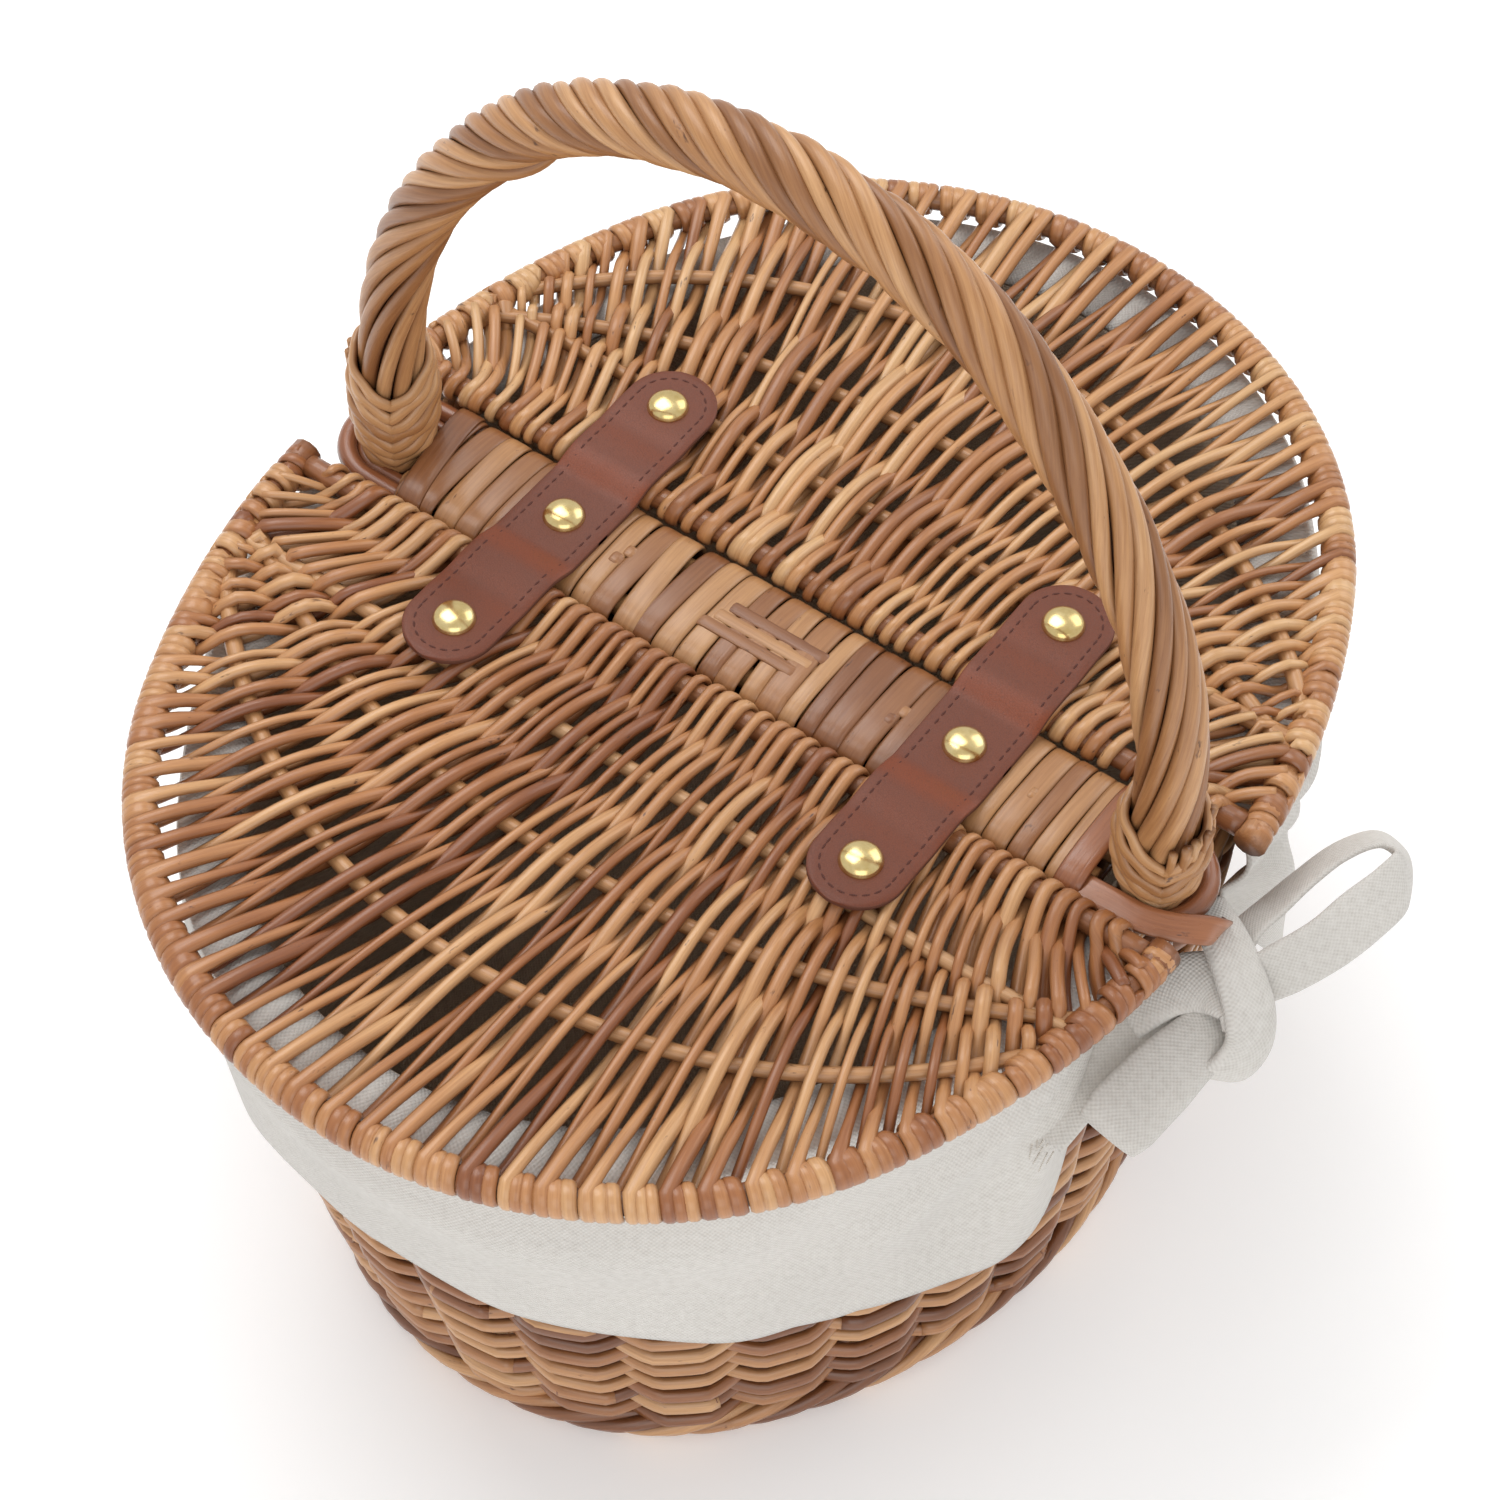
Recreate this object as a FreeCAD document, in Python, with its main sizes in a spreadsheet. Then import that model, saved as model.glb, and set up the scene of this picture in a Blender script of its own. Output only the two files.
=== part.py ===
import math
import os

import FreeCAD
import Part
import Sketcher
from FreeCAD import Rotation, Vector

# An oval willow picnic basket.  Z is up, the origin is under the middle of the base, the
# handle and the crossbar run along X, and the two lids lie towards -Y (front) and +Y (back).
# Every length is in millimetres.
SIZES = {
    # The woven body: half sizes of its oval, outside, at the foot and under the rim.
    "end_fullness": 0.84,        # end radius of each four-centred oval, as a share of its half width
    "foot_half_width": 122,
    "foot_half_length": 153,
    "rim_half_width": 137.5,
    "rim_half_length": 182,
    "wall_thickness": 8,
    "foot_height": 8,
    "wall_top": 181,
    "wall_setback": 1.5,         # how far the wall's top lies inside the rim's outer edge
    "rim_height": 12,
    "rim_band": 12,
    "rim_rounding": 5,
    "foot_rounding": 2.5,
    # The base: a slab of weave around long sticks pierced through short ones.
    "base_underside": 2.5,
    "base_thickness": 9,
    "base_clearance": 0.3,
    "stick_clearance": 1,
    "long_stick_radius": 2.2,
    "long_stick_pitch": 30,
    "short_stick_radius": 3.2,
    "short_stick_pitch": 30,
    "stake_radius": 2.1,
    # The lids: both outlines together make one oval, with the crossbar between them.
    "lid_half_width": 149.5,
    "lid_half_length": 195,
    "lid_rod_radius": 4.8,
    "lid_level": 199.4,
    "chord_inner_edge": 21,
    "chord_radius": 4.5,
    "weave_thickness": 6.6,
    "rib_radius": 2.2,
    "rod_gap": 0.4,              # between the ends of rods and what they point at
    "fit_gap": 0.1,              # between parts that lie against each other
    "inner_rib_depth": 58,
    "middle_rib_depth": 93,      # how far each bent rib lies from the crossbar's middle line
    "middle_rib_end_depth": 66,
    "middle_rib_reach": 117,
    "outer_rib_depth": 134,
    "outer_rib_end_depth": 95,
    "outer_rib_reach": 109,
    # The crossbar and its ends around the handle's legs.
    "bar_half_length": 118,
    "bar_half_width": 19,
    "bar_underside": 190,
    "bar_top": 202,
    "bar_rounding": 5,
    "bar_stick_radius": 3.6,
    "bar_stick_pitch": 11,
    "listing_width": 6,
    "listing_thickness": 0.9,
    "listing_half_length": 46,
    "listing_offset": 8,
    "end_rod_radius": 4,
    "end_rod_bend": 16,
    "end_rod_level": 198.6,
    "lashing_width": 9,
    "lashing_thickness": 1.2,
    # The hoop handle.
    "handle_half_span": 131,
    "handle_spring_level": 225,
    "handle_rise": 156,
    "handle_fullness": 0.86,
    "handle_radius": 9.9,
    "bow_radius": 4.2,
    "bow_tail_radius": 2.9,
    "bow_tail_level": 90,
    "roping_foot": 194.6,
    "collar_foot": 203.4,
    "collar_height": 42,
    "collar_radius": 12.6,
    # The leather hinge straps and the brass poppers.
    "strap_spacing": 69,
    "strap_width": 28,
    "strap_end": 65,
    "strap_thickness": 2.2,
    "lid_strap_level": 204.7,
    "hinge_offset": 21.5,
    "hinge_gap": 1.5,
    "popper_offset": 50,
    "popper_radius": 6.25,
    "popper_rise": 3.6,
    "popper_edge": 0.9,
    "popper_shank_radius": 1.7,
    "popper_hole_radius": 1.85,
    # The canvas lining, its turned-down skirts and the bows at the handle.
    "canvas_thickness": 1.4,
    "bag_mouth_inset": 13,
    "bag_foot_inset": 9,
    "bag_floor": 12,
    "skirt_drop": 80,
    "skirt_clearance": 1.4,
    "skirt_flare": -4,            # the hem hangs in towards the wall
    "skirt_slit": 26,
    "bow_level": 176,
    "bow_loop_length": 46,
    "bow_loop_height": 20,
    "bow_ribbon": 13,
    "bow_thickness": 2.4,
    "bow_knot_radius": 7,
    "bow_tilt": 12,              # how far each loop rises from level, in degrees
    "bow_swing": 22,             # how far each loop swings out from the wall, in degrees
    "bow_tail_length": 44,
    "bow_tail_width": 15,
    "bow_tail_spread": 22,       # how far each tail swings from upright, in degrees
    "bow_tail_offset": 4,
}
STAKE_COUNT = 30
LONG_STICKS = 3
SHORT_STICKS = 7
BAR_STICKS = 3

doc = FreeCAD.newDocument("WickerBasket")
sheet = doc.addObject("Spreadsheet::Sheet", "Sizes")
for row, (alias, number) in enumerate(SIZES.items(), start=1):
    sheet.set("A%d" % row, alias)
    sheet.set("B%d" % row, str(number))
    sheet.setAlias("B%d" % row, alias)
doc.recompute()

parts = {}


def size(alias):
    """The sheet's number for one driving dimension."""
    return float(sheet.get(alias))


def amount(terms):
    """A length given as (factor, alias) pairs, as a number."""
    return sum(factor * size(alias) for factor, alias in terms)


def formula(terms):
    """The same length as an expression on the sheet."""
    return " + ".join("%g * Sizes.%s" % term for term in terms)


def bind(item, prop, terms):
    item.setExpression(prop, formula(terms))


def keep(item, name):
    """Make an object one of the sub-parts; its Label names its file."""
    item.Label = name
    parts[name] = item
    return item


def place(item, x=0.0, y=0.0, z=0.0, axis=Vector(0, 0, 1), angle=0.0):
    item.Placement = FreeCAD.Placement(Vector(x, y, z), Rotation(axis, angle))
    return item


def fixed(name, shape):
    """A helper object that holds one shape made with Part's own functions."""
    item = doc.addObject("Part::Feature", name)
    item.Shape = shape
    item.Placement = FreeCAD.Placement()
    return item


def boolean(kind, name, base, tool):
    item = doc.addObject("Part::" + kind, name)
    item.Base = base
    item.Tool = tool
    return item


def group(name, members):
    item = doc.addObject("Part::Compound", name)
    item.Links = members
    return item


def box(name, low, high):
    """A box between two corners, each corner three numbers."""
    item = doc.addObject("Part::Box", name)
    item.Length = high[0] - low[0]
    item.Width = high[1] - low[1]
    item.Height = high[2] - low[2]
    return place(item, *low)


def rod(name, radius, length, start, direction):
    """A round rod; radius is an alias, and length a list of terms or a plain number."""
    item = doc.addObject("Part::Cylinder", name)
    bind(item, "Radius", [(1, radius)])
    if isinstance(length, list):
        bind(item, "Height", length)
    else:
        item.Height = length
    turn = Rotation(Vector(0, 0, 1), direction)
    item.Placement = FreeCAD.Placement(start, turn)
    return item


# Ovals ------------------------------------------------------------------------------------

def oval_arcs(half_width, half_length, fullness):
    """The four tangent arcs of an oval, anticlockwise from the right-hand side.

    Each is (centre x, centre y, radius, first angle, last angle), in degrees.
    """
    end = fullness * half_width
    rise = half_length - end
    side = (half_width ** 2 + rise ** 2 - end ** 2) / (2 * (half_width - end))
    turn = math.degrees(math.atan2(rise, side - half_width))
    shift = side - half_width
    return [
        (-shift, 0.0, side, -turn, turn),
        (0.0, rise, end, turn, 180 - turn),
        (shift, 0.0, side, 180 - turn, 180 + turn),
        (0.0, -rise, end, 180 + turn, 360 - turn),
    ]


def on_arc(arc, angle):
    x, y, radius = arc[:3]
    return (x + radius * math.cos(math.radians(angle)), y + radius * math.sin(math.radians(angle)))


def arc_edge(arc, first, last, to_space):
    ends = [to_space(*on_arc(arc, angle)) for angle in (first, (first + last) / 2, last)]
    return Part.Arc(*ends).toShape()


def level(z):
    return lambda x, y: Vector(x, y, z)


def oval_wire(half_width, half_length, z):
    arcs = oval_arcs(half_width, half_length, size("end_fullness"))
    return Part.Wire([arc_edge(arc, arc[3], arc[4], level(z)) for arc in arcs])


def lid_arcs(inset, start):
    """A D's bent side: the front half of the lid oval, inset, from y = -start to y = -start."""
    half_width = size("lid_half_width")
    outline = oval_arcs(half_width, size("lid_half_length"), size("end_fullness"))
    right, _, left, front = [arc[:2] + (arc[2] - inset,) + arc[3:] for arc in outline]
    reach = math.degrees(math.asin(start / right[2]))
    return [(left, 180 + reach, left[4]), (front, front[3], front[4]), (right, right[3], -reach)]


def lid_wire(inset, start, z):
    edges = [arc_edge(arc, first, last, level(z)) for arc, first, last in lid_arcs(inset, start)]
    return Part.Wire(edges)


def rib_wire(rib, z):
    """One bent rib as an arc that bows away from the crossbar."""
    reach, end, depth = size(rib + "_reach"), size(rib + "_end_depth"), size(rib + "_depth")
    return Part.Wire([Part.Arc(Vector(-reach, -end, z), Vector(0, -depth, z),
                               Vector(reach, -end, z)).toShape()])


def lid_reach(inset, y):
    """Half the width of the inset lid oval at a distance y from the middle."""
    arc = oval_arcs(size("lid_half_width"), size("lid_half_length"), size("end_fullness"))[0]
    return arc[0] + math.sqrt((arc[2] - inset) ** 2 - y ** 2)


def loft(name, low, high):
    """A solid between two ovals, each (half width, half length, z)."""
    item = doc.addObject("Part::Loft", name)
    item.Sections = [fixed(name + "Low", oval_wire(*low)), fixed(name + "High", oval_wire(*high))]
    item.Solid = True
    item.Ruled = True
    return item


def slab(name, half_width, half_length, z, height):
    """An oval prism; height is a list of terms."""
    item = doc.addObject("Part::Extrusion", name)
    item.Base = fixed(name + "Outline", oval_wire(half_width, half_length, z))
    item.DirMode = "Custom"
    item.Dir = Vector(0, 0, 1)
    item.Solid = True
    bind(item, "LengthFwd", height)
    return item


def sweep(name, wire, radius):
    """A round rod along a wire of tangent arcs and lines; radius is an alias."""
    first = wire.OrderedEdges[0]
    section = doc.addObject("Part::Circle", name + "Section")
    bind(section, "Radius", [(1, radius)])
    start = first.valueAt(first.FirstParameter)
    along = first.tangentAt(first.FirstParameter)
    section.Placement = FreeCAD.Placement(start, Rotation(Vector(0, 0, 1), along))
    item = doc.addObject("Part::Sweep", name)
    item.Sections = [section]
    item.Spine = (fixed(name + "Path", wire), [])
    item.Solid = True
    return item


def rounded_ring(name, outer, inner, z, height, rounding, edge_levels):
    """An oval ring with its edges rounded at the given levels."""
    solid = boolean("Cut", name + "Ring",
                    slab(name + "Outer", *outer, z, height), slab(name + "Inner", *inner, z, height))
    doc.recompute()
    item = doc.addObject("Part::Fillet", name)
    item.Base = solid
    radius = size(rounding)
    chosen = []
    for index, edge in enumerate(solid.Shape.Edges, start=1):
        low, high = edge.BoundBox.ZMin, edge.BoundBox.ZMax
        flat = high - low < 0.01
        if flat and any(abs(low - edge_level) < 0.01 for edge_level in edge_levels):
            chosen.append((index, radius, radius))
    item.Edges = chosen
    return item


# Sketched bodies --------------------------------------------------------------------------

def sketch_on(body, plane):
    sketch = body.newObject("Sketcher::SketchObject", body.Name + "Sketch")
    for feature in body.Origin.OriginFeatures:
        if feature.Role == plane:
            sketch.AttachmentSupport = [(feature, "")]
    sketch.MapMode = "FlatFace"
    return sketch


def pin_point(sketch, geometry, point, x_terms, y_terms):
    """Tie one point to the sheet, measured from the sketch's origin."""
    for kind, axis, terms in (("DistanceX", -2, x_terms), ("DistanceY", -1, y_terms)):
        if not terms:
            sketch.addConstraint(Sketcher.Constraint("PointOnObject", geometry, point, axis))
            continue
        rule = Sketcher.Constraint(kind, -1, 1, geometry, point, amount(terms))
        number = sketch.addConstraint(rule)
        sketch.setExpression("Constraints[%d]" % number, formula(terms))


CENTRED = "an arc whose centre lies on the sketch's vertical axis"


def outline(sketch, corners, bends=None):
    """A closed outline: corners are (x terms, y terms).

    bends maps a bent side to its radius terms, or to CENTRED.
    """
    bends = bends or {}
    spots = [Vector(amount(x), amount(y), 0) for x, y in corners]
    count = len(spots)
    first = sketch.GeometryCount
    for side in range(count):
        start, end = spots[side], spots[(side + 1) % count]
        if side not in bends:
            sketch.addGeometry(Part.LineSegment(start, end))
            continue
        half = (end - start) * 0.5
        if bends[side] is CENTRED:
            rise = end.y - start.y
            radius = (start.x ** 2 + rise ** 2) / (2 * rise)
        else:
            radius = amount(bends[side])
        outward = Vector(half.y, -half.x, 0).normalize()
        depth = math.sqrt(max(radius ** 2 - half.Length ** 2, 0.0))
        crown = start + half + outward * (radius - depth)
        sketch.addGeometry(Part.Arc(start, crown, end))
    for side in range(count):
        here, after = first + side, first + (side + 1) % count
        bent = isinstance(sketch.Geometry[here], Part.ArcOfCircle)
        next_bent = isinstance(sketch.Geometry[after], Part.ArcOfCircle)
        leaving = sketch_end(sketch, here, spots[(side + 1) % count]) if bent else 2
        entering = sketch_end(sketch, after, spots[(side + 1) % count]) if next_bent else 1
        sketch.addConstraint(Sketcher.Constraint("Coincident", here, leaving, after, entering))
        pin_point(sketch, after, entering, *corners[(side + 1) % count])
        if not bent:
            continue
        if bends[side] is CENTRED:
            sketch.addConstraint(Sketcher.Constraint("PointOnObject", here, 3, -2))
            continue
        chord = (spots[(side + 1) % count] - spots[side]).Length
        if abs(chord - 2 * amount(bends[side])) < 0.001:
            rule = Sketcher.Constraint("DistanceY", -1, 1, here, 3, amount(corners[side][1]))
            terms = corners[side][1]
        else:
            rule = Sketcher.Constraint("Radius", here, amount(bends[side]))
            terms = bends[side]
        number = sketch.addConstraint(rule)
        sketch.setExpression("Constraints[%d]" % number, formula(terms))


def sketch_end(sketch, geometry, spot):
    """Which end of an arc lies on a spot: 1 is its start and 2 its end."""
    gap = (sketch.getPoint(geometry, 1) - spot).Length
    return 1 if gap < 0.001 else 2


def hole(sketch, radius, x_terms, y_terms):
    centre = Vector(amount(x_terms), amount(y_terms), 0)
    circle = sketch.addGeometry(Part.Circle(centre, Vector(0, 0, 1), size(radius)))
    pin_point(sketch, circle, 3, x_terms, y_terms)
    number = sketch.addConstraint(Sketcher.Constraint("Radius", circle, size(radius)))
    sketch.setExpression("Constraints[%d]" % number, "Sizes." + radius)


def pad(body, sketch, length, midplane=False):
    feature = body.newObject("PartDesign::Pad", body.Name + "Pad")
    feature.Profile = sketch
    feature.Midplane = midplane
    bind(feature, "Length", length)
    body.Tip = feature
    return feature


def revolve(body, sketch):
    feature = body.newObject("PartDesign::Revolution", body.Name + "Revolution")
    feature.Profile = sketch
    feature.ReferenceAxis = (sketch, ["V_Axis"])
    feature.Angle = 360
    body.Tip = feature
    return feature


# The body of the basket -------------------------------------------------------------------

def wall_oval(z, inset):
    """The wall's oval at a level, inset from its outside."""
    share = (z - size("foot_height")) / (size("wall_top") - size("foot_height"))
    low = (size("foot_half_width"), size("foot_half_length"))
    high = (size("rim_half_width") - size("wall_setback"), size("rim_half_length") - size("wall_setback"))
    return (low[0] + share * (high[0] - low[0]) - inset, low[1] + share * (high[1] - low[1]) - inset)


def stake_line(arc_low, arc_high, share, radius):
    """One upright on the ruling that joins two matching arcs."""
    foot, top = size("foot_height"), size("wall_top")
    ends = []
    for arc, z in ((arc_low, foot), (arc_high, top)):
        ends.append(Vector(*on_arc(arc, arc[3] + share * (arc[4] - arc[3])), z))
    along = ends[1] - ends[0]
    spare = along * 0.02
    solid = Part.makeCylinder(size(radius), (along + spare * 2).Length, ends[0] - spare, along)
    reach = 2 * size("rim_half_length")
    between = Part.makeBox(2 * reach, 2 * reach, top - foot, Vector(-reach, -reach, foot))
    return solid.common(between)


def make_stakes():
    """Uprights spread evenly round the middle of the wall, clear of the handle's tails."""
    middle = size("wall_thickness") / 2
    fullness = size("end_fullness")
    low = oval_arcs(*wall_oval(size("foot_height"), middle), fullness)
    high = oval_arcs(*wall_oval(size("wall_top"), middle), fullness)
    lengths = [math.radians(arc[4] - arc[3]) * arc[2] for arc in high]
    total = sum(lengths)
    stakes = []
    for number in range(STAKE_COUNT):
        travel = (number + 0.5) / STAKE_COUNT * total + lengths[0] / 2
        travel %= total
        for index, length in enumerate(lengths):
            if travel <= length:
                stakes.append(stake_line(low[index], high[index], travel / length, "stake_radius"))
                break
            travel -= length
    return Part.makeCompound(stakes)


def make_body():
    foot, top = size("foot_height"), size("wall_top")
    thickness = size("wall_thickness")
    stakes = keep(fixed("Stakes", make_stakes()), "side_stakes")
    outer = loft("WallOuter", (*wall_oval(foot, 0), foot), (*wall_oval(top, 0), top))
    inner = loft("WallInner", (*wall_oval(foot, thickness), foot), (*wall_oval(top, thickness), top))
    shell = boolean("Cut", "WallShell", outer, inner)
    staked = boolean("Cut", "WallStaked", shell, stakes)
    keep(boolean("Cut", "Wall", staked, make_bow_tails()), "side_weave")

    ring = size("wall_thickness")
    width, length = size("foot_half_width"), size("foot_half_length")
    border = rounded_ring("FootBorder", (width, length), (width - ring, length - ring), 0,
                          [(1, "foot_height")], "foot_rounding", [0])
    keep(border, "foot_border")
    width, length = size("rim_half_width"), size("rim_half_length")
    band = size("rim_band")
    rim = rounded_ring("RimRing", (width, length), (width - band, length - band), top,
                       [(1, "rim_height")], "rim_rounding", [top, top + size("rim_height")])
    legs = [rod("RimPassage" + side, "bow_radius", [(3, "rim_height")],
                Vector(sign * size("handle_half_span"), 0, top - size("rim_height")), Vector(0, 0, 1))
            for side, sign in (("Left", -1), ("Right", 1))]
    keep(boolean("Cut", "Rim", rim, group("RimPassages", legs)), "rim_border")


def make_base():
    """Long sticks pierced through short ones, with the weave of the base around them."""
    inset = size("wall_thickness") + size("base_clearance")
    width = size("foot_half_width") - inset
    length = size("foot_half_length") - inset
    middle = size("base_underside") + size("base_thickness") / 2
    side, end = oval_arcs(width, length, size("end_fullness"))[:2]
    long_sticks = []
    for number in range(LONG_STICKS):
        x = (number - (LONG_STICKS - 1) / 2) * size("long_stick_pitch")
        edge = abs(x) + size("long_stick_radius")
        reach = end[1] + math.sqrt(end[2] ** 2 - edge ** 2) - size("stick_clearance")
        long_sticks.append(rod("LongStick%d" % number, "long_stick_radius", 2 * reach,
                               Vector(x, -reach, middle), Vector(0, 1, 0)))
    short_sticks = []
    for number in range(SHORT_STICKS):
        y = (number - (SHORT_STICKS - 1) / 2) * size("short_stick_pitch")
        edge = abs(y) + size("short_stick_radius")
        reach = side[0] + math.sqrt(side[2] ** 2 - edge ** 2) - size("stick_clearance")
        short_sticks.append(rod("ShortStick%d" % number, "short_stick_radius", 2 * reach,
                                Vector(-reach, y, middle), Vector(1, 0, 0)))
    long_group = group("LongSticks", long_sticks)
    pierced = boolean("Cut", "PiercedSticks", group("ShortSticks", short_sticks), long_group)
    sticks = keep(group("BaseSticks", [long_group, pierced]), "base_sticks")
    plate = slab("BaseSlab", width, length, size("base_underside"), [(1, "base_thickness")])
    keep(boolean("Cut", "BaseWeave", plate, sticks), "base_weave")


# The handle -------------------------------------------------------------------------------

def handle_wire(foot):
    """A vertical leg, a five-part arch in the XZ plane and the other leg."""
    span, spring = size("handle_half_span"), size("handle_spring_level")
    arcs = oval_arcs(span, size("handle_rise"), size("handle_fullness"))

    def upright(x, y):
        return Vector(x, 0, spring + y)

    right, top, left = arcs[:3]
    edges = [
        Part.LineSegment(Vector(span, 0, foot), Vector(span, 0, spring)).toShape(),
        arc_edge(right, 0, right[4], upright),
        arc_edge(top, top[3], top[4], upright),
        arc_edge(left, left[3], 180, upright),
        Part.LineSegment(Vector(-span, 0, spring), Vector(-span, 0, foot)).toShape(),
    ]
    return Part.Wire(edges)


def make_bow_tails():
    """The thin tails of the handle's core, pushed down into the middle of the wall."""
    tails = []
    low_level, high_level = size("bow_tail_level"), size("wall_top")
    middle = size("wall_thickness") / 2
    for side, sign in (("Left", -1), ("Right", 1)):
        low = Vector(sign * wall_oval(low_level, middle)[0], 0, low_level)
        high = Vector(sign * wall_oval(high_level, middle)[0], 0, high_level)
        item = doc.addObject("Part::Cylinder", "BowTail" + side)
        bind(item, "Radius", [(1, "bow_tail_radius")])
        item.Height = (high - low).Length + 1     # runs on into the hoop's leg
        item.Placement = FreeCAD.Placement(low, Rotation(Vector(0, 0, 1), high - low))
        tails.append(item)
    return group("BowTails", tails)


def make_handle():
    foot = size("wall_top")
    hoop = sweep("BowHoop", handle_wire(foot), "bow_radius")
    keep(boolean("Fuse", "HandleBow", hoop, doc.getObject("BowTails")), "handle_bow")
    skin = sweep("RopingSkin", handle_wire(size("roping_foot")), "handle_radius")
    core = sweep("RopingCore", handle_wire(size("roping_foot")), "bow_radius")
    keep(boolean("Cut", "HandleRoping", skin, core), "handle_roping")
    for side, sign in (("left", -1), ("right", 1)):
        start = Vector(sign * size("handle_half_span"), 0, size("collar_foot"))
        outer = rod("CollarOuter_" + side, "collar_radius", [(1, "collar_height")], start, Vector(0, 0, 1))
        inner = sweep("CollarInner_" + side, leg_wire(sign), "handle_radius")
        keep(boolean("Cut", "Collar_" + side, outer, inner), "handle_collar_" + side)


def leg_wire(sign):
    """The part of the handle's line that passes through one collar."""
    span, spring = size("handle_half_span"), size("handle_spring_level")
    right = oval_arcs(span, size("handle_rise"), size("handle_fullness"))[0]

    def upright(x, y):
        return Vector(sign * x, 0, spring + y)

    low = Vector(sign * span, 0, size("roping_foot"))
    return Part.Wire([
        Part.LineSegment(low, Vector(sign * span, 0, spring)).toShape(),
        arc_edge(right, 0, right[4] / 2, upright),
    ])


# The crossbar -----------------------------------------------------------------------------

def rounded_bar(name, grow):
    """A bar along X with a rounded section, thicker than the wrapped crossbar by grow terms."""
    body = doc.addObject("PartDesign::Body", name)
    sketch = sketch_on(body, "YZ_Plane")
    half = [(1, "bar_half_width")] + grow
    low = [(1, "bar_underside")] + [(-factor, alias) for factor, alias in grow]
    high = [(1, "bar_top")] + grow
    bend = [(1, "bar_rounding")] + grow
    side = half + [(-factor, alias) for factor, alias in bend]
    low_bend = low + bend
    high_bend = high + [(-factor, alias) for factor, alias in bend]
    minus = [(-factor, alias) for factor, alias in side]
    minus_half = [(-factor, alias) for factor, alias in half]
    corners = [(minus, low), (side, low), (half, low_bend), (half, high_bend),
               (side, high), (minus, high), (minus_half, high_bend), (minus_half, low_bend)]
    outline(sketch, corners, {1: bend, 3: bend, 5: bend, 7: bend})
    return body, sketch


def make_crossbar():
    middle = (size("bar_top") + size("bar_underside")) / 2
    sticks = []
    for number in range(BAR_STICKS):
        y = (number - (BAR_STICKS - 1) / 2) * size("bar_stick_pitch")
        sticks.append(rod("BarStick%d" % number, "bar_stick_radius", [(2, "bar_half_length")],
                          Vector(-size("bar_half_length"), y, middle), Vector(1, 0, 0)))
    core = keep(group("BarSticks", sticks), "crossbar_sticks")
    body, sketch = rounded_bar("BarWrap", [])
    pad(body, sketch, [(2, "bar_half_length")], midplane=True)
    keep(boolean("Cut", "CrossbarWrap", body, core), "crossbar_wrap")

    strips = []
    for side, sign in (("Front", -1), ("Back", 1)):
        strip = doc.addObject("Part::Box", "Listing" + side)
        bind(strip, "Length", [(2, "listing_half_length")])
        bind(strip, "Width", [(1, "listing_width")])
        bind(strip, "Height", [(1, "listing_thickness")])
        place(strip, -size("listing_half_length"),
              sign * size("listing_offset") - size("listing_width") / 2, size("bar_top"))
        strips.append(strip)
    keep(group("Listing", strips), "crossbar_listing")

    for side, sign in (("left", -1), ("right", 1)):
        make_bar_end(side, sign)


def make_bar_end(side, sign):
    """The rod that turns round the handle's leg, and the flat lashing at the bar's end."""
    bend, z = size("end_rod_bend"), size("end_rod_level")
    centre = sign * (size("handle_half_span") - 2)
    start = sign * (size("bar_half_length") + size("rod_gap"))
    edges = [
        Part.LineSegment(Vector(start, -bend, z), Vector(centre, -bend, z)).toShape(),
        Part.Arc(Vector(centre, -bend, z), Vector(centre + sign * bend, 0, z),
                 Vector(centre, bend, z)).toShape(),
        Part.LineSegment(Vector(centre, bend, z), Vector(start, bend, z)).toShape(),
    ]
    rod_end = sweep("BarEnd_" + side, Part.Wire(edges), "end_rod_radius")
    keep(rod_end, "crossbar_end_" + side)
    body, sketch = rounded_bar("LashingOuter_" + side, [(1, "lashing_thickness")])
    pad(body, sketch, [(1, "lashing_width")], midplane=True)
    core, core_sketch = rounded_bar("LashingInner_" + side, [])
    pad(core, core_sketch, [(2, "lashing_width")], midplane=True)
    x = sign * (size("bar_half_length") - size("lashing_width") / 2 - 1)
    band = boolean("Cut", "Lashing_" + side, body, core)
    keep(place(band, x), "crossbar_lashing_" + side)


# Straps and poppers -----------------------------------------------------------------------

def make_popper(name, x, y, z):
    """A pressed brass cap on its shank, turned about its own axis."""
    body = doc.addObject("PartDesign::Body", "Body_" + name)
    sketch = sketch_on(body, "XZ_Plane")
    shank, edge = [(1, "popper_shank_radius")], [(1, "popper_edge")]
    cap, foot = [(1, "popper_radius")], [(-1, "strap_thickness")]
    corners = [([], foot), (shank, foot), (shank, []), (cap, []), (cap, edge),
               ([], [(1, "popper_rise")])]
    outline(sketch, corners, {4: CENTRED})
    revolve(body, sketch)
    keep(place(body, x, y, z), name)


def make_lid_strap(name, x, turn):
    """One strap's outer part, from beside the hinge line to its rounded end on the lid."""
    body = doc.addObject("PartDesign::Body", "Body_" + name)
    sketch = sketch_on(body, "XY_Plane")
    half, minus = [(0.5, "strap_width")], [(-0.5, "strap_width")]
    inner = [(-1, "hinge_offset"), (-1, "hinge_gap")]
    outer = [(-1, "strap_end"), (0.5, "strap_width")]
    corners = [(minus, outer), (half, outer), (half, inner), (minus, inner)]
    outline(sketch, corners, {0: half})
    hole(sketch, "popper_hole_radius", [], [(-1, "popper_offset")])
    pad(body, sketch, [(1, "strap_thickness")])
    keep(place(body, x, 0, size("lid_strap_level"), angle=turn), name)


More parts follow.
